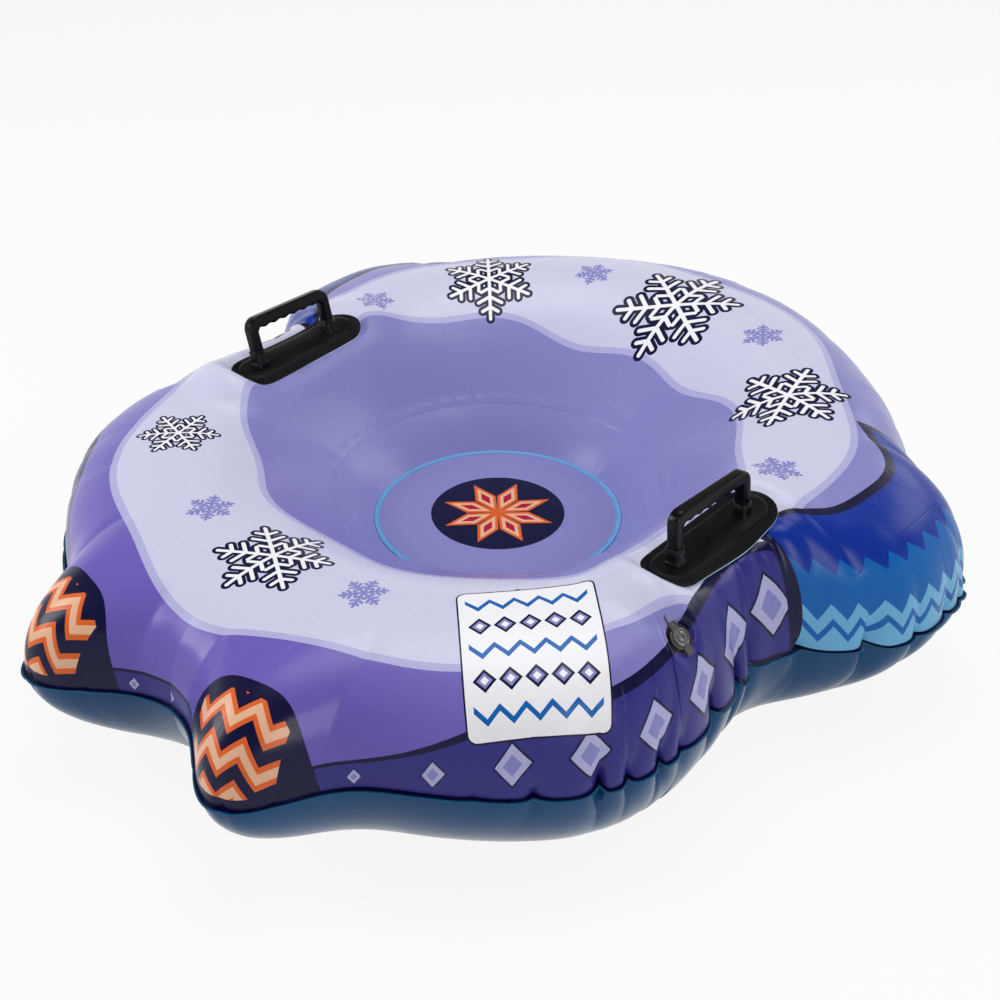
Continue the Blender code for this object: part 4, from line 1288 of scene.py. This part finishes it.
def nearest_arm(tree, place, middle, size, turn):
    """Distance to the nearest arm or branch of a snow crystal, in metres."""
    local = add_node(tree, "Mapping", place, (*middle, 0), (0, 0, turn), vector_type="TEXTURE")
    along, across = nearest_spoke(tree, local, CRYSTAL_ARMS)[1:]
    tip = add_node(tree, "Math", along, size, operation="SUBTRACT")
    tip = add_node(tree, "Math", tip, 0, operation="MAXIMUM")
    nearest = add_node(tree, "VectorMath", add_node(tree, "CombineXYZ", tip, across),
                       operation="LENGTH", out="Value")
    wedge = add_node(tree, "CombineXYZ", along, across)
    for start, share in CRYSTAL_BRANCH_SHARES:
        branch = add_node(tree, "Mapping", wedge, (start * size, 0, 0),
                          (0, 0, math.radians(CRYSTAL_BRANCH_TURN)), vector_type="TEXTURE")
        x = add_node(tree, "SeparateXYZ", branch)
        half = share * size / 2
        past = add_node(tree, "Math", distance_from(tree, x, half), half, operation="SUBTRACT")
        past = add_node(tree, "Math", past, 0, operation="MAXIMUM")
        gap = add_node(tree, "VectorMath", add_node(tree, "CombineXYZ", past, x.node.outputs["Y"]),
                       operation="LENGTH", out="Value")
        nearest = add_node(tree, "Math", nearest, gap, operation="MINIMUM")
    return nearest


CRYSTAL_ARMS = 6
# As shares of the arm: where a branch starts, and its length
CRYSTAL_BRANCH_SHARES = ((0.28, 0.22), (0.50, 0.30), (0.74, 0.20))
CRYSTAL_BRANCH_TURN = 60


def painted(tree, ground, shape, *layers):
    """The ground, with each layer's colour where the shape's value is under the layer's limit."""
    for limit, colour in layers:
        inside = add_node(tree, "Math", shape, limit, operation="LESS_THAN")
        ground = add_node(tree, "MixRGB", inside, ground, tuple(colour))
    return ground


def draw_ground(tree, inks, y):
    """Lavender, deepening to purple down the front."""
    share = add_node(tree, "MapRange", y, *GROUND_REACH, 0, 1)
    purple, lavender = tuple(inks.purple), tuple(inks.lavender)
    stops = list(zip((0, *GROUND_BLEND, 1), (purple, purple, lavender, lavender)))
    return add_node(tree, "ValToRGB", share, stops=stops)


GROUND_REACH = (-0.62, 0.72)
# As shares of the reach: where purple ends and lavender starts
GROUND_BLEND = (0.10, 0.34)


def draw_snow_ribbon(tree, inks, ground, reach, turn):
    """Pale ribbon of snow round the tube, wide at the front and back, with hilly, misty edges."""
    hills = add_node(tree, "Math", turn, RIBBON_HILLS, operation="MULTIPLY")
    hills = add_node(tree, "Math", hills, operation="SINE")
    away = add_node(tree, "Math", turn, operation="SINE")
    away = add_node(tree, "Math", away, 2, operation="POWER")
    half = add_node(tree, "Math", away, RIBBON_SPREAD, RIBBON_HALF_WIDTH, operation="MULTIPLY_ADD")
    off = distance_from(tree, reach, RIBBON_RADIUS)
    off = add_node(tree, "Math", off, half, operation="SUBTRACT")
    edge = add_node(tree, "Math", hills, RIBBON_SWING, off, operation="MULTIPLY_ADD")
    return painted(tree, ground, edge, (RIBBON_MIST, inks.mist), (0, inks.pale))


RIBBON_HILLS = 9
RIBBON_SWING = 0.009
RIBBON_RADIUS = 0.405
RIBBON_HALF_WIDTH = 0.040
RIBBON_SPREAD = 0.052
RIBBON_MIST = 0.009
# Across, along, reach of the arms and half width of a line; each stands on both sides
CRYSTALS = ((0.0, 0.405, 0.088, 0.0085), (0.282, 0.290, 0.070, 0.007),
            (0.0, -0.392, 0.066, 0.0065), (0.300, -0.290, 0.046, 0.0045),
            (0.135, -0.375, 0.027, 0.0019), (0.160, 0.400, 0.028, 0.0020),
            (0.375, 0.130, 0.028, 0.0020))
# A crystal of longer reach is large
LARGE_CRYSTAL = 0.04


def draw_crystals(tree, inks, ground, mirrored):
    """Snow crystals, alike on both sides: large ones white in navy lines, small ones lavender."""
    for x, y, size, width in CRYSTALS:
        nearest = nearest_arm(tree, mirrored, (x, y), size, math.atan2(y, x))
        layers = [(width, inks.navy), (width * CRYSTAL_HEART_SHARE, inks.white)]
        if size < LARGE_CRYSTAL:
            layers = [(width, inks.lavender)]
        ground = painted(tree, ground, nearest, *layers)
    return ground


CRYSTAL_HEART_SHARE = 0.36


def draw_knit_star(tree, inks, ground, mirrored):
    """Eight-petalled knit star in a navy round on the seat floor."""
    reach, along, across = nearest_spoke(tree, mirrored, STAR_PETALS, math.pi / STAR_PETALS)
    along = distance_from(tree, along, STAR_SIZE / 2)
    along = add_node(tree, "Math", along, STAR_SIZE / 2, operation="DIVIDE")
    petal = add_node(tree, "Math", across, 1 / (STAR_SIZE * PETAL_HALF_SHARE), along,
                     operation="MULTIPLY_ADD")
    ground = painted(tree, ground, reach, (STAR_SIZE * STAR_ROUND_SHARE, inks.navy))
    return painted(tree, ground, petal, *zip(PETAL_STEPS, (inks.orange, inks.peach, inks.crimson)))


STAR_PETALS = 8
STAR_SIZE = 0.070
STAR_ROUND_SHARE = 1.16
PETAL_HALF_SHARE = 0.19
# Edge, light line and heart of a petal, as shares of its half size
PETAL_STEPS = (1, 0.72, 0.40)


def draw_bands(tree, inks, ground, turn, inset, along):
    """Navy and violet bands along the seam, with lozenges that grow with the bands' width."""
    share = add_node(tree, "MapRange", turn, -math.pi / 2, math.pi / 2, 0, 1)
    width = add_node(tree, "ValToRGB", share, stops=[(at, (w, w, w, 1)) for at, w in BAND_WIDTHS])
    width.node.color_ramp.interpolation = "EASE"
    across = add_node(tree, "Math", inset, width, operation="DIVIDE")
    ground = painted(tree, ground, across, (1, inks.navy), (BAND_VIOLET_SHARE, inks.violet))
    beside = add_node(tree, "Math", along, LOZENGE_PITCH / 2, -LOZENGE_PITCH / 2, operation="WRAP")
    beside = add_node(tree, "Math", beside, operation="ABSOLUTE")
    beside = add_node(tree, "Math", beside, width, operation="DIVIDE")
    above = distance_from(tree, across, LOZENGE_MIDDLE_SHARE)
    above = add_node(tree, "Math", above, LOZENGE_HALF_SHARES[1], operation="DIVIDE")
    edge = add_node(tree, "Math", beside, 1 / LOZENGE_HALF_SHARES[0], above,
                    operation="MULTIPLY_ADD")
    return painted(tree, ground, edge, *zip(LOZENGE_STEPS, (inks.navy, inks.mist, inks.lavender)))


# Direction as a share from the front to the back, and the bands' width there
BAND_WIDTHS = ((0.0, 0.030), (0.14, 0.034), (0.28, 0.105), (0.47, 0.150), (0.60, 0.10),
               (1.0, 0.115))
BAND_VIOLET_SHARE = 0.88
LOZENGE_PITCH = 0.078
LOZENGE_MIDDLE_SHARE = 0.44
LOZENGE_HALF_SHARES = (0.20, 0.25)
# Outline, body and heart of a lozenge, as shares of its half size
LOZENGE_STEPS = (1.12, 0.98, 0.52)


def draw_lobe_fields(tree, inks, ground, mirrored, inset):
    """Navy fields on the front lobes, with knit chevrons in orange and peach."""
    turn = math.radians(FRONT_LOBE_ANGLE)
    middle = (LOBE_FIELD_RADIUS * math.cos(turn), LOBE_FIELD_RADIUS * math.sin(turn), 0)
    local = add_node(tree, "Mapping", mirrored, middle, (0, 0, turn - math.pi / 2),
                     vector_type="TEXTURE")
    x = add_node(tree, "SeparateXYZ", local)
    bow = add_node(tree, "Math", x, LOBE_FIELD_HALF_WIDTH, operation="DIVIDE")
    bow = add_node(tree, "Math", bow, 2, operation="POWER")
    field = add_node(tree, "Math", bow, LOBE_FIELD_BOW, inset, operation="MULTIPLY_ADD")
    ground = painted(tree, ground, field, (LOBE_FIELD_DEPTH, inks.navy))
    tooth = add_node(tree, "Math", x, CHEVRON_TOOTH, operation="PINGPONG")
    rise = add_node(tree, "Math", tooth, CHEVRON_SLOPE, x.node.outputs["Y"],
                    operation="MULTIPLY_ADD")
    row = add_node(tree, "Math", rise, CHEVRON_PITCH / 2, -CHEVRON_PITCH / 2, operation="WRAP")
    row = add_node(tree, "Math", row, operation="ABSOLUTE")
    beyond = add_node(tree, "Math", field, LOBE_FIELD_DEPTH - LOBE_BORDER, operation="SUBTRACT")
    border = add_node(tree, "Math", LOBE_BORDER, inset, operation="SUBTRACT")
    beyond = add_node(tree, "Math", beyond, border, operation="MAXIMUM")
    beside = add_node(tree, "Math", x, operation="ABSOLUTE")
    beside = add_node(tree, "Math", beside, LOBE_ROW_HALF, operation="SUBTRACT")
    beyond = add_node(tree, "Math", beyond, beside, operation="MAXIMUM")
    beyond = add_node(tree, "Math", beyond, 0, operation="GREATER_THAN")
    row = add_node(tree, "Math", beyond, 1, row, operation="MULTIPLY_ADD")
    return painted(tree, ground, row, (CHEVRON_HALF_WIDTH, inks.orange),
                   (CHEVRON_HALF_WIDTH * CHEVRON_LINE_SHARE, inks.peach))


LOBE_FIELD_RADIUS = 0.645
LOBE_FIELD_HALF_WIDTH = 0.080
LOBE_FIELD_BOW = 0.10
LOBE_FIELD_DEPTH = 0.140
LOBE_BORDER = 0.014
LOBE_ROW_HALF = 0.056
CHEVRON_TOOTH = 0.020
CHEVRON_SLOPE = 1.1
CHEVRON_PITCH = 0.044
CHEVRON_HALF_WIDTH = 0.0135
CHEVRON_LINE_SHARE = 0.45


def draw_ice_bands(tree, inks, ground, turn, inset, along):
    """Knit zigzags on the side lobes, royal blue inside and ice blue at the seam."""
    off = distance_from(tree, turn, math.radians(SIDE_LOBE_ANGLE))
    tooth = add_node(tree, "Math", along, TOOTH, operation="PINGPONG")
    jagged = add_node(tree, "Math", tooth, TOOTH_SLOPE, inset, operation="MULTIPLY_ADD")
    for half_angle, shape, *layers in (
            (ICE_HALF_ANGLE + ICE_BORDER_ANGLE, inset, (ICE_DEPTH + ICE_BORDER, inks.navy)),
            (ICE_HALF_ANGLE, inset, (ICE_DEPTH, inks.royal)),
            (ICE_HALF_ANGLE, jagged, *zip(ICE_STEPS, (inks.azure, inks.ice) * 2))):
        outside = add_node(tree, "Math", off, math.radians(half_angle), operation="GREATER_THAN")
        limited = add_node(tree, "Math", outside, 1, shape, operation="MULTIPLY_ADD")
        ground = painted(tree, ground, limited, *layers)
    return painted(tree, ground, inset, (SEAM_LINE, inks.navy))


TOOTH = 0.016
TOOTH_SLOPE = 1.3
ICE_HALF_ANGLE = 17.0
ICE_BORDER_ANGLE = 1.6
ICE_BORDER = 0.012
ICE_DEPTH = 0.185
# How far in from the seam each zigzag starts
ICE_STEPS = (0.118, 0.062, 0.044, 0.034)
SEAM_LINE = 0.0025


def draw_panel(tree, inks, ground, flat):
    """White knit panel on the right flank: rows of lozenges and zigzags in a fine dark outline."""
    local = add_node(tree, "Mapping", flat, (*PANEL_MIDDLE, 0), (0, 0, math.radians(PANEL_TURN)),
                     vector_type="TEXTURE")
    size = add_node(tree, "VectorMath", local, operation="ABSOLUTE")
    half = (PANEL_HALF[0] - PANEL_CORNER, PANEL_HALF[1] - PANEL_CORNER, 0)
    past = add_node(tree, "VectorMath", size, half, operation="SUBTRACT")
    past = add_node(tree, "VectorMath", past, (0, 0, 0), operation="MAXIMUM")
    edge = add_node(tree, "VectorMath", past, operation="LENGTH", out="Value")
    ground = painted(tree, ground, edge, (PANEL_CORNER, inks.navy),
                     (PANEL_CORNER - PANEL_LINE, inks.white))
    x = add_node(tree, "SeparateXYZ", local)
    y = x.node.outputs["Y"]
    row = add_node(tree, "Math", y, PANEL_ROW / 2, -PANEL_ROW / 2, operation="WRAP")
    number = add_node(tree, "Math", y, PANEL_ROW, operation="DIVIDE")
    number = add_node(tree, "Math", number, operation="ROUND")
    odd = add_node(tree, "Math", number, 2, operation="FLOORED_MODULO")
    tooth = add_node(tree, "Math", x, PANEL_TOOTH, operation="PINGPONG")
    zigzag = add_node(tree, "Math", tooth, row, operation="SUBTRACT")
    zigzag = distance_from(tree, zigzag, PANEL_TOOTH / 2)
    tall = add_node(tree, "Math", row, operation="ABSOLUTE")
    lozenge = add_node(tree, "Math", tooth, tall, operation="ADD")
    inner = (PANEL_HALF[0] - PANEL_MARGIN, PANEL_HALF[1] - PANEL_MARGIN, 0)
    inner = add_node(tree, "VectorMath", size, inner, operation="SUBTRACT")
    inner = add_node(tree, "SeparateXYZ", inner)
    outside = add_node(tree, "Math", inner, inner.node.outputs["Y"], operation="MAXIMUM")
    outside = add_node(tree, "Math", outside, 0, operation="GREATER_THAN")
    even = add_node(tree, "Math", 1, odd, operation="SUBTRACT")
    for hidden, shape, steps, colours in (
            (odd, zigzag, PANEL_ZIGZAG_STEPS, (inks.azure,)),
            (even, lozenge, PANEL_LOZENGE_STEPS, (inks.navy, inks.lavender, inks.white))):
        hidden = add_node(tree, "Math", hidden, outside, operation="ADD")
        limited = add_node(tree, "Math", hidden, 1, shape, operation="MULTIPLY_ADD")
        ground = painted(tree, ground, limited, *((PANEL_TOOTH * step, colour)
                                                  for step, colour in zip(steps, colours)))
    return ground


PANEL_MIDDLE = (0.3420, -0.3180)
PANEL_TURN = 47.0
PANEL_HALF = (0.080, 0.098)
PANEL_CORNER = 0.012
PANEL_LINE = 0.0020
PANEL_MARGIN = 0.010
PANEL_ROW = 0.0352
PANEL_TOOTH = 0.0140
# As shares of the tooth
PANEL_ZIGZAG_STEPS = (0.26,)
PANEL_LOZENGE_STEPS = (0.92, 0.62, 0.34)


def printed_film(inks):
    """Soft PVC film, gravure printed under a clear face and welded: satin, with broad glints."""
    surface, tree, shader = new_surface(
        "printed_pvc_film", IOR=PVC_INDEX, Specular_IOR_Level=FILM_GLINT)
    flat = add_node(tree, "UVMap", uv_map="flat_print")
    seam = add_node(tree, "UVMap", uv_map="seam_print")
    x = add_node(tree, "SeparateXYZ", flat)
    y = x.node.outputs["Y"]
    along = add_node(tree, "SeparateXYZ", seam)
    inset = along.node.outputs["Y"]
    side = add_node(tree, "Math", x, operation="ABSOLUTE")
    mirrored = add_node(tree, "CombineXYZ", side, y)
    turn = add_node(tree, "Math", y, side, operation="ARCTAN2")
    reach = add_node(tree, "VectorMath", flat, operation="LENGTH", out="Value")
    ground = draw_ground(tree, inks, y)
    ground = draw_snow_ribbon(tree, inks, ground, reach, turn)
    ground = draw_crystals(tree, inks, ground, mirrored)
    ground = draw_knit_star(tree, inks, ground, mirrored)
    ground = draw_bands(tree, inks, ground, turn, inset, along)
    ground = draw_ice_bands(tree, inks, ground, turn, inset, along)
    ground = draw_lobe_fields(tree, inks, ground, mirrored, inset)
    ground = draw_panel(tree, inks, ground, flat)
    tree.links.new(ground, shader.inputs["Base Color"])
    slack_film(tree, shader, packing_folds(tree, flat))
    uneven_roughness(tree, shader, PRINT_ROUGHNESS)
    return surface


def plain_film(name, colour, roughness, glint=FILM_GLINT):
    """Soft PVC film, dyed through and calendered: a smooth face with an uneven satin gloss."""
    surface, tree, shader = new_surface(name, IOR=PVC_INDEX, Specular_IOR_Level=glint)
    shade_of_dye(tree, shader, colour)
    slack_film(tree, shader)
    uneven_roughness(tree, shader, roughness)
    return surface


def shade_of_dye(tree, shader, colour):
    """Slow change in the depth of a dyed plastic, a few parts in a hundred."""
    place = add_node(tree, "TexCoord", out="Object")
    cloud = add_node(tree, "TexNoise", place, None, 1000 / DYE_MM, 2)
    spread = add_node(tree, "MapRange", cloud, *DYE_SPAN, *DYE_DEPTHS)
    tinted = add_node(tree, "VectorMath", tuple(colour)[:3], None, None, spread, operation="SCALE")
    tree.links.new(tinted, shader.inputs["Base Color"])


DYE_MM = 30
DYE_SPAN = (0.3, 0.7)
DYE_DEPTHS = (0.94, 1.06)


def moulded_pvc(inks):
    """Rigid PVC, injection moulded in a polished tool: deep black with crisp small glints."""
    surface, tree, shader = new_surface(
        "moulded_black_pvc", IOR=PVC_INDEX, Specular_IOR_Level=MOULDING_GLINT)
    shade_of_dye(tree, shader, inks.black)
    uneven_roughness(tree, shader, MOULDING_ROUGHNESS)
    return surface


def smoky_pvc(inks):
    """Soft clear PVC with a smoky dye, moulded: light passes through thin walls and edges glow."""
    surface, tree, shader = new_surface(
        "smoky_clear_pvc", IOR=PVC_INDEX, Transmission_Weight=SMOKE_CLEARNESS,
        Base_Color=tuple(inks.smoke))
    uneven_roughness(tree, shader, VALVE_ROUGHNESS)
    return surface


SMOKE_CLEARNESS = 0.35


def studio_white(name, shaded):
    """Matt white floor: the camera sees it near white, and the object's shadow stays on it."""
    surface = bpy.data.materials.new(name)
    surface.use_nodes = True
    tree = surface.node_tree
    tree.nodes.clear()
    seen = path = add_node(tree, "LightPath")
    for ray in ("Is Glossy Ray", "Is Transmission Ray"):
        seen = add_node(tree, "Math", seen, path.node.outputs[ray], operation="MAXIMUM")
    seen = add_node(tree, "Math", seen, 1 - shaded, operation="MULTIPLY")
    matt = add_node(tree, "BsdfDiffuse", (FLOOR_WHITE, FLOOR_WHITE, FLOOR_WHITE, 1))
    glow = add_node(tree, "Emission", (1, 1, 1, 1), 1)
    mixed = add_node(tree, "MixShader", seen, matt, glow)
    output = tree.nodes.new("ShaderNodeOutputMaterial")
    tree.links.new(mixed, output.inputs["Surface"])
    return surface


FLOOR_WHITE = 0.82


def make_cove(studio, surfaces):
    """Round floor that curves up into a wall, all in one sheet."""
    edge = studio.floor_size / 2
    line = [(edge * share, 0) for share in COVE_FLOOR_SHARES]
    line += arc(edge - COVE_RADIUS, COVE_RADIUS, COVE_RADIUS, -90, 0)
    line.append((edge, COVE_HEIGHT))
    columns = [[polar(360 * c / TURN_STEPS, *point) for point in line] for c in range(TURN_STEPS)]
    return make_sheet("studio_cove", columns, surfaces, flip=True)


COVE_FLOOR_SHARES = (0.0002, 0.05, 0.2, 0.5)
COVE_RADIUS = 2.0
COVE_HEIGHT = 3.0


def soft_box(name, place, wide, tall, watts):
    """A rectangular soft light that faces the sled."""
    lamp = bpy.data.lights.new(name, "AREA")
    lamp.shape = "RECTANGLE"
    lamp.size = wide
    lamp.size_y = tall
    lamp.energy = watts
    box = add_object(name, lamp)
    box.location = place
    box.rotation_euler = (Vector(LIGHT_AIM) - Vector(place)).to_track_quat("-Z", "Y").to_euler()


class SLED_OT_top_sheet(bpy.types.Operator):
    """Build the printed top sheet and the seat sheet"""
    bl_idname = "sled.top_sheet"
    bl_label = "Printed sheets"

    def execute(self, context):
        scene = context.scene
        film = printed_film(scene.sled_colours)
        cut = plain_film("seam_cut_edge", scene.sled_colours.seam, EDGE_ROUGHNESS)
        top = make_top_sheet(scene.sled_shape, scene.sled_folds, scene.sled_valve,
                             scene.sled_handle, (film, cut))
        settle(top, "sled", "printed_vinyl", "top_skin")
        seat = make_seat_sheet(scene.sled_shape, (film,))
        settle(seat, "sled", "printed_vinyl", "seat_panel")
        blue = plain_film("weld_ring_film", scene.sled_colours.ring, RING_ROUGHNESS)
        ring = make_floor_ring(scene.sled_shape, (blue,))
        settle(ring, "sled", "weld_ring_vinyl", "seat_ring")
        return {"FINISHED"}


class SLED_OT_base_sheet(bpy.types.Operator):
    """Build the slick base sheet, and finish the band inside the tube"""
    bl_idname = "sled.base_sheet"
    bl_label = "Base sheet"

    def execute(self, context):
        scene = context.scene
        film = plain_film("slick_base_film", scene.sled_colours.base, SLICK_ROUGHNESS)
        cut = plain_film("base_cut_edge", scene.sled_colours.seam, EDGE_ROUGHNESS)
        base = make_base_sheet(scene.sled_shape, scene.sled_folds, (film, cut))
        settle(base, "sled", "slick_base_vinyl", "bottom_skin")
        band = plain_film("clear_baffle_film", scene.sled_colours.baffle, EDGE_ROUGHNESS)
        frame["nodes"]["inner_baffle"].material_slots[0].material = band
        return {"FINISHED"}


class SLED_OT_handles(bpy.types.Operator):
    """Build both grab handles with their plates and welded patches"""
    bl_idname = "sled.handles"
    bl_label = "Grab handles"

    def execute(self, context):
        scene = context.scene
        shape, handle, inks = scene.sled_shape, scene.sled_handle, scene.sled_colours
        moulding = moulded_pvc(inks)
        film = plain_film("black_patch_film", inks.patch, PATCH_ROUGHNESS, PATCH_GLINT)
        bare = plain_film("bare_patch_edge", inks.edge, EDGE_ROUGHNESS)
        for side, label in ((1, "right"), (-1, "left")):
            patch = make_patch(shape, handle, side, label, (film, bare))
            settle(patch, "sled", "black_patch_vinyl", "handle_patch_" + label)
            mount = make_mount(shape, handle, side, label, (moulding,))
            settle(mount, "sled", "black_moulded_grip", "handle_base_" + label)
            grip = make_grip(shape, handle, side, label, (moulding,))
            settle(grip, "sled", "black_moulded_grip", "handle_grip_" + label)
        return {"FINISHED"}


class SLED_OT_valve(bpy.types.Operator):
    """Build the valve's cup, stem and plug, and finish its flap"""
    bl_idname = "sled.valve"
    bl_label = "Air valve"

    def execute(self, context):
        valve = context.scene.sled_valve
        smoky = smoky_pvc(context.scene.sled_colours)
        place = valve_frame(valve)
        cup = make_valve_cup(valve, place, (smoky,))
        settle(cup, "sled", "smoky_valve_vinyl", "valve_socket")
        tube = make_valve_tube(valve, place, (smoky,))
        settle(tube, "stem", "smoky_valve_vinyl", "valve_stem")
        stopper = make_valve_stopper(valve, place, (smoky,))
        settle(stopper, "plug", "smoky_valve_vinyl", "valve_plug")
        frame["nodes"]["valve_flap"].material_slots[0].material = smoky
        return {"FINISHED"}


class SLED_OT_studio(bpy.types.Operator):
    """Add the pale floor, the soft lights and the camera"""
    bl_idname = "sled.studio"
    bl_label = "Studio"

    def execute(self, context):
        scene = context.scene
        studio = scene.sled_studio
        make_cove(studio, (studio_white("studio_white_floor", FLOOR_SHADED),))
        for light in SOFT_BOXES:
            soft_box(*light)
        world = bpy.data.worlds.new("studio_white")
        scene.world = world
        world.use_nodes = True
        sky = world.node_tree.nodes["Background"]
        sky.inputs["Color"].default_value = (1, 1, 1, 1)
        sky.inputs["Strength"].default_value = WORLD_STRENGTH
        camera = add_object("camera", bpy.data.cameras.new("camera"))
        turn, level = studio.azimuth, math.cos(studio.elevation)
        back = Vector((math.sin(turn) * level, -math.cos(turn) * level, math.sin(studio.elevation)))
        right = Vector((math.cos(turn), math.sin(turn), 0))
        up = back.cross(right)
        aim = polar(0, 0, scene.sled_shape.seat_height) + right * AIM_RIGHT + up * AIM_UP
        camera.location = aim + back * studio.distance
        camera.rotation_euler = Matrix((right, up, back)).transposed().to_euler()
        camera.data.lens = studio.lens
        scene.camera = camera
        scene.view_settings.view_transform = "Standard"
        return {"FINISHED"}


AIM_RIGHT = 0.0027
AIM_UP = 0.0171
WORLD_STRENGTH = 0.22
FLOOR_SHADED = 0.11
LIGHT_AIM = (0, 0, 0.15)
# Name, place, width, height and watts of each light
SOFT_BOXES = (("key_box", (-1.9, -1.9, 1.5), 1.2, 1.5, 44),
              ("fill_box", (2.3, -0.9, 1.4), 0.9, 1.5, 20),
              ("top_box", (-0.1, 0.6, 2.8), 2.2, 1.5, 36),
              ("back_box", (0.9, 2.5, 1.6), 2.0, 0.9, 18))


class SLED_PT_build(bpy.types.Panel):
    """Lists the sled's pieces in the order they are built"""
    bl_idname = "SLED_PT_build"
    bl_label = "Snow sled"
    bl_space_type = "VIEW_3D"
    bl_region_type = "UI"
    bl_category = "Snow sled"

    def draw(self, context):
        column = self.layout.column()
        for operator in OPERATORS:
            column.operator(operator.bl_idname)
        for group, _ in GROUPS:
            owner = getattr(context.scene, group)
            for name in owner.__annotations__:
                column.prop(owner, name)


OPERATORS = (SLED_OT_top_sheet, SLED_OT_base_sheet, SLED_OT_handles, SLED_OT_valve, SLED_OT_studio)
GROUPS = (("sled_shape", SledShape), ("sled_folds", SledFolds), ("sled_colours", SledColours),
          ("sled_handle", HandleSizes), ("sled_valve", ValveSizes), ("sled_studio", StudioSizes))


def register():
    for name, group in GROUPS:
        bpy.utils.register_class(group)
        setattr(bpy.types.Scene, name, PointerProperty(type=group))
    for operator in OPERATORS:
        bpy.utils.register_class(operator)
    bpy.utils.register_class(SLED_PT_build)


def unregister():
    bpy.utils.unregister_class(SLED_PT_build)
    for operator in reversed(OPERATORS):
        bpy.utils.unregister_class(operator)
    for name, group in reversed(GROUPS):
        delattr(bpy.types.Scene, name)
        bpy.utils.unregister_class(group)


def main():
    register()
    bpy.ops.sled.top_sheet()
    bpy.ops.sled.base_sheet()
    bpy.ops.sled.handles()
    bpy.ops.sled.valve()
    bpy.ops.sled.studio()


if __name__ == "__main__":
    main()
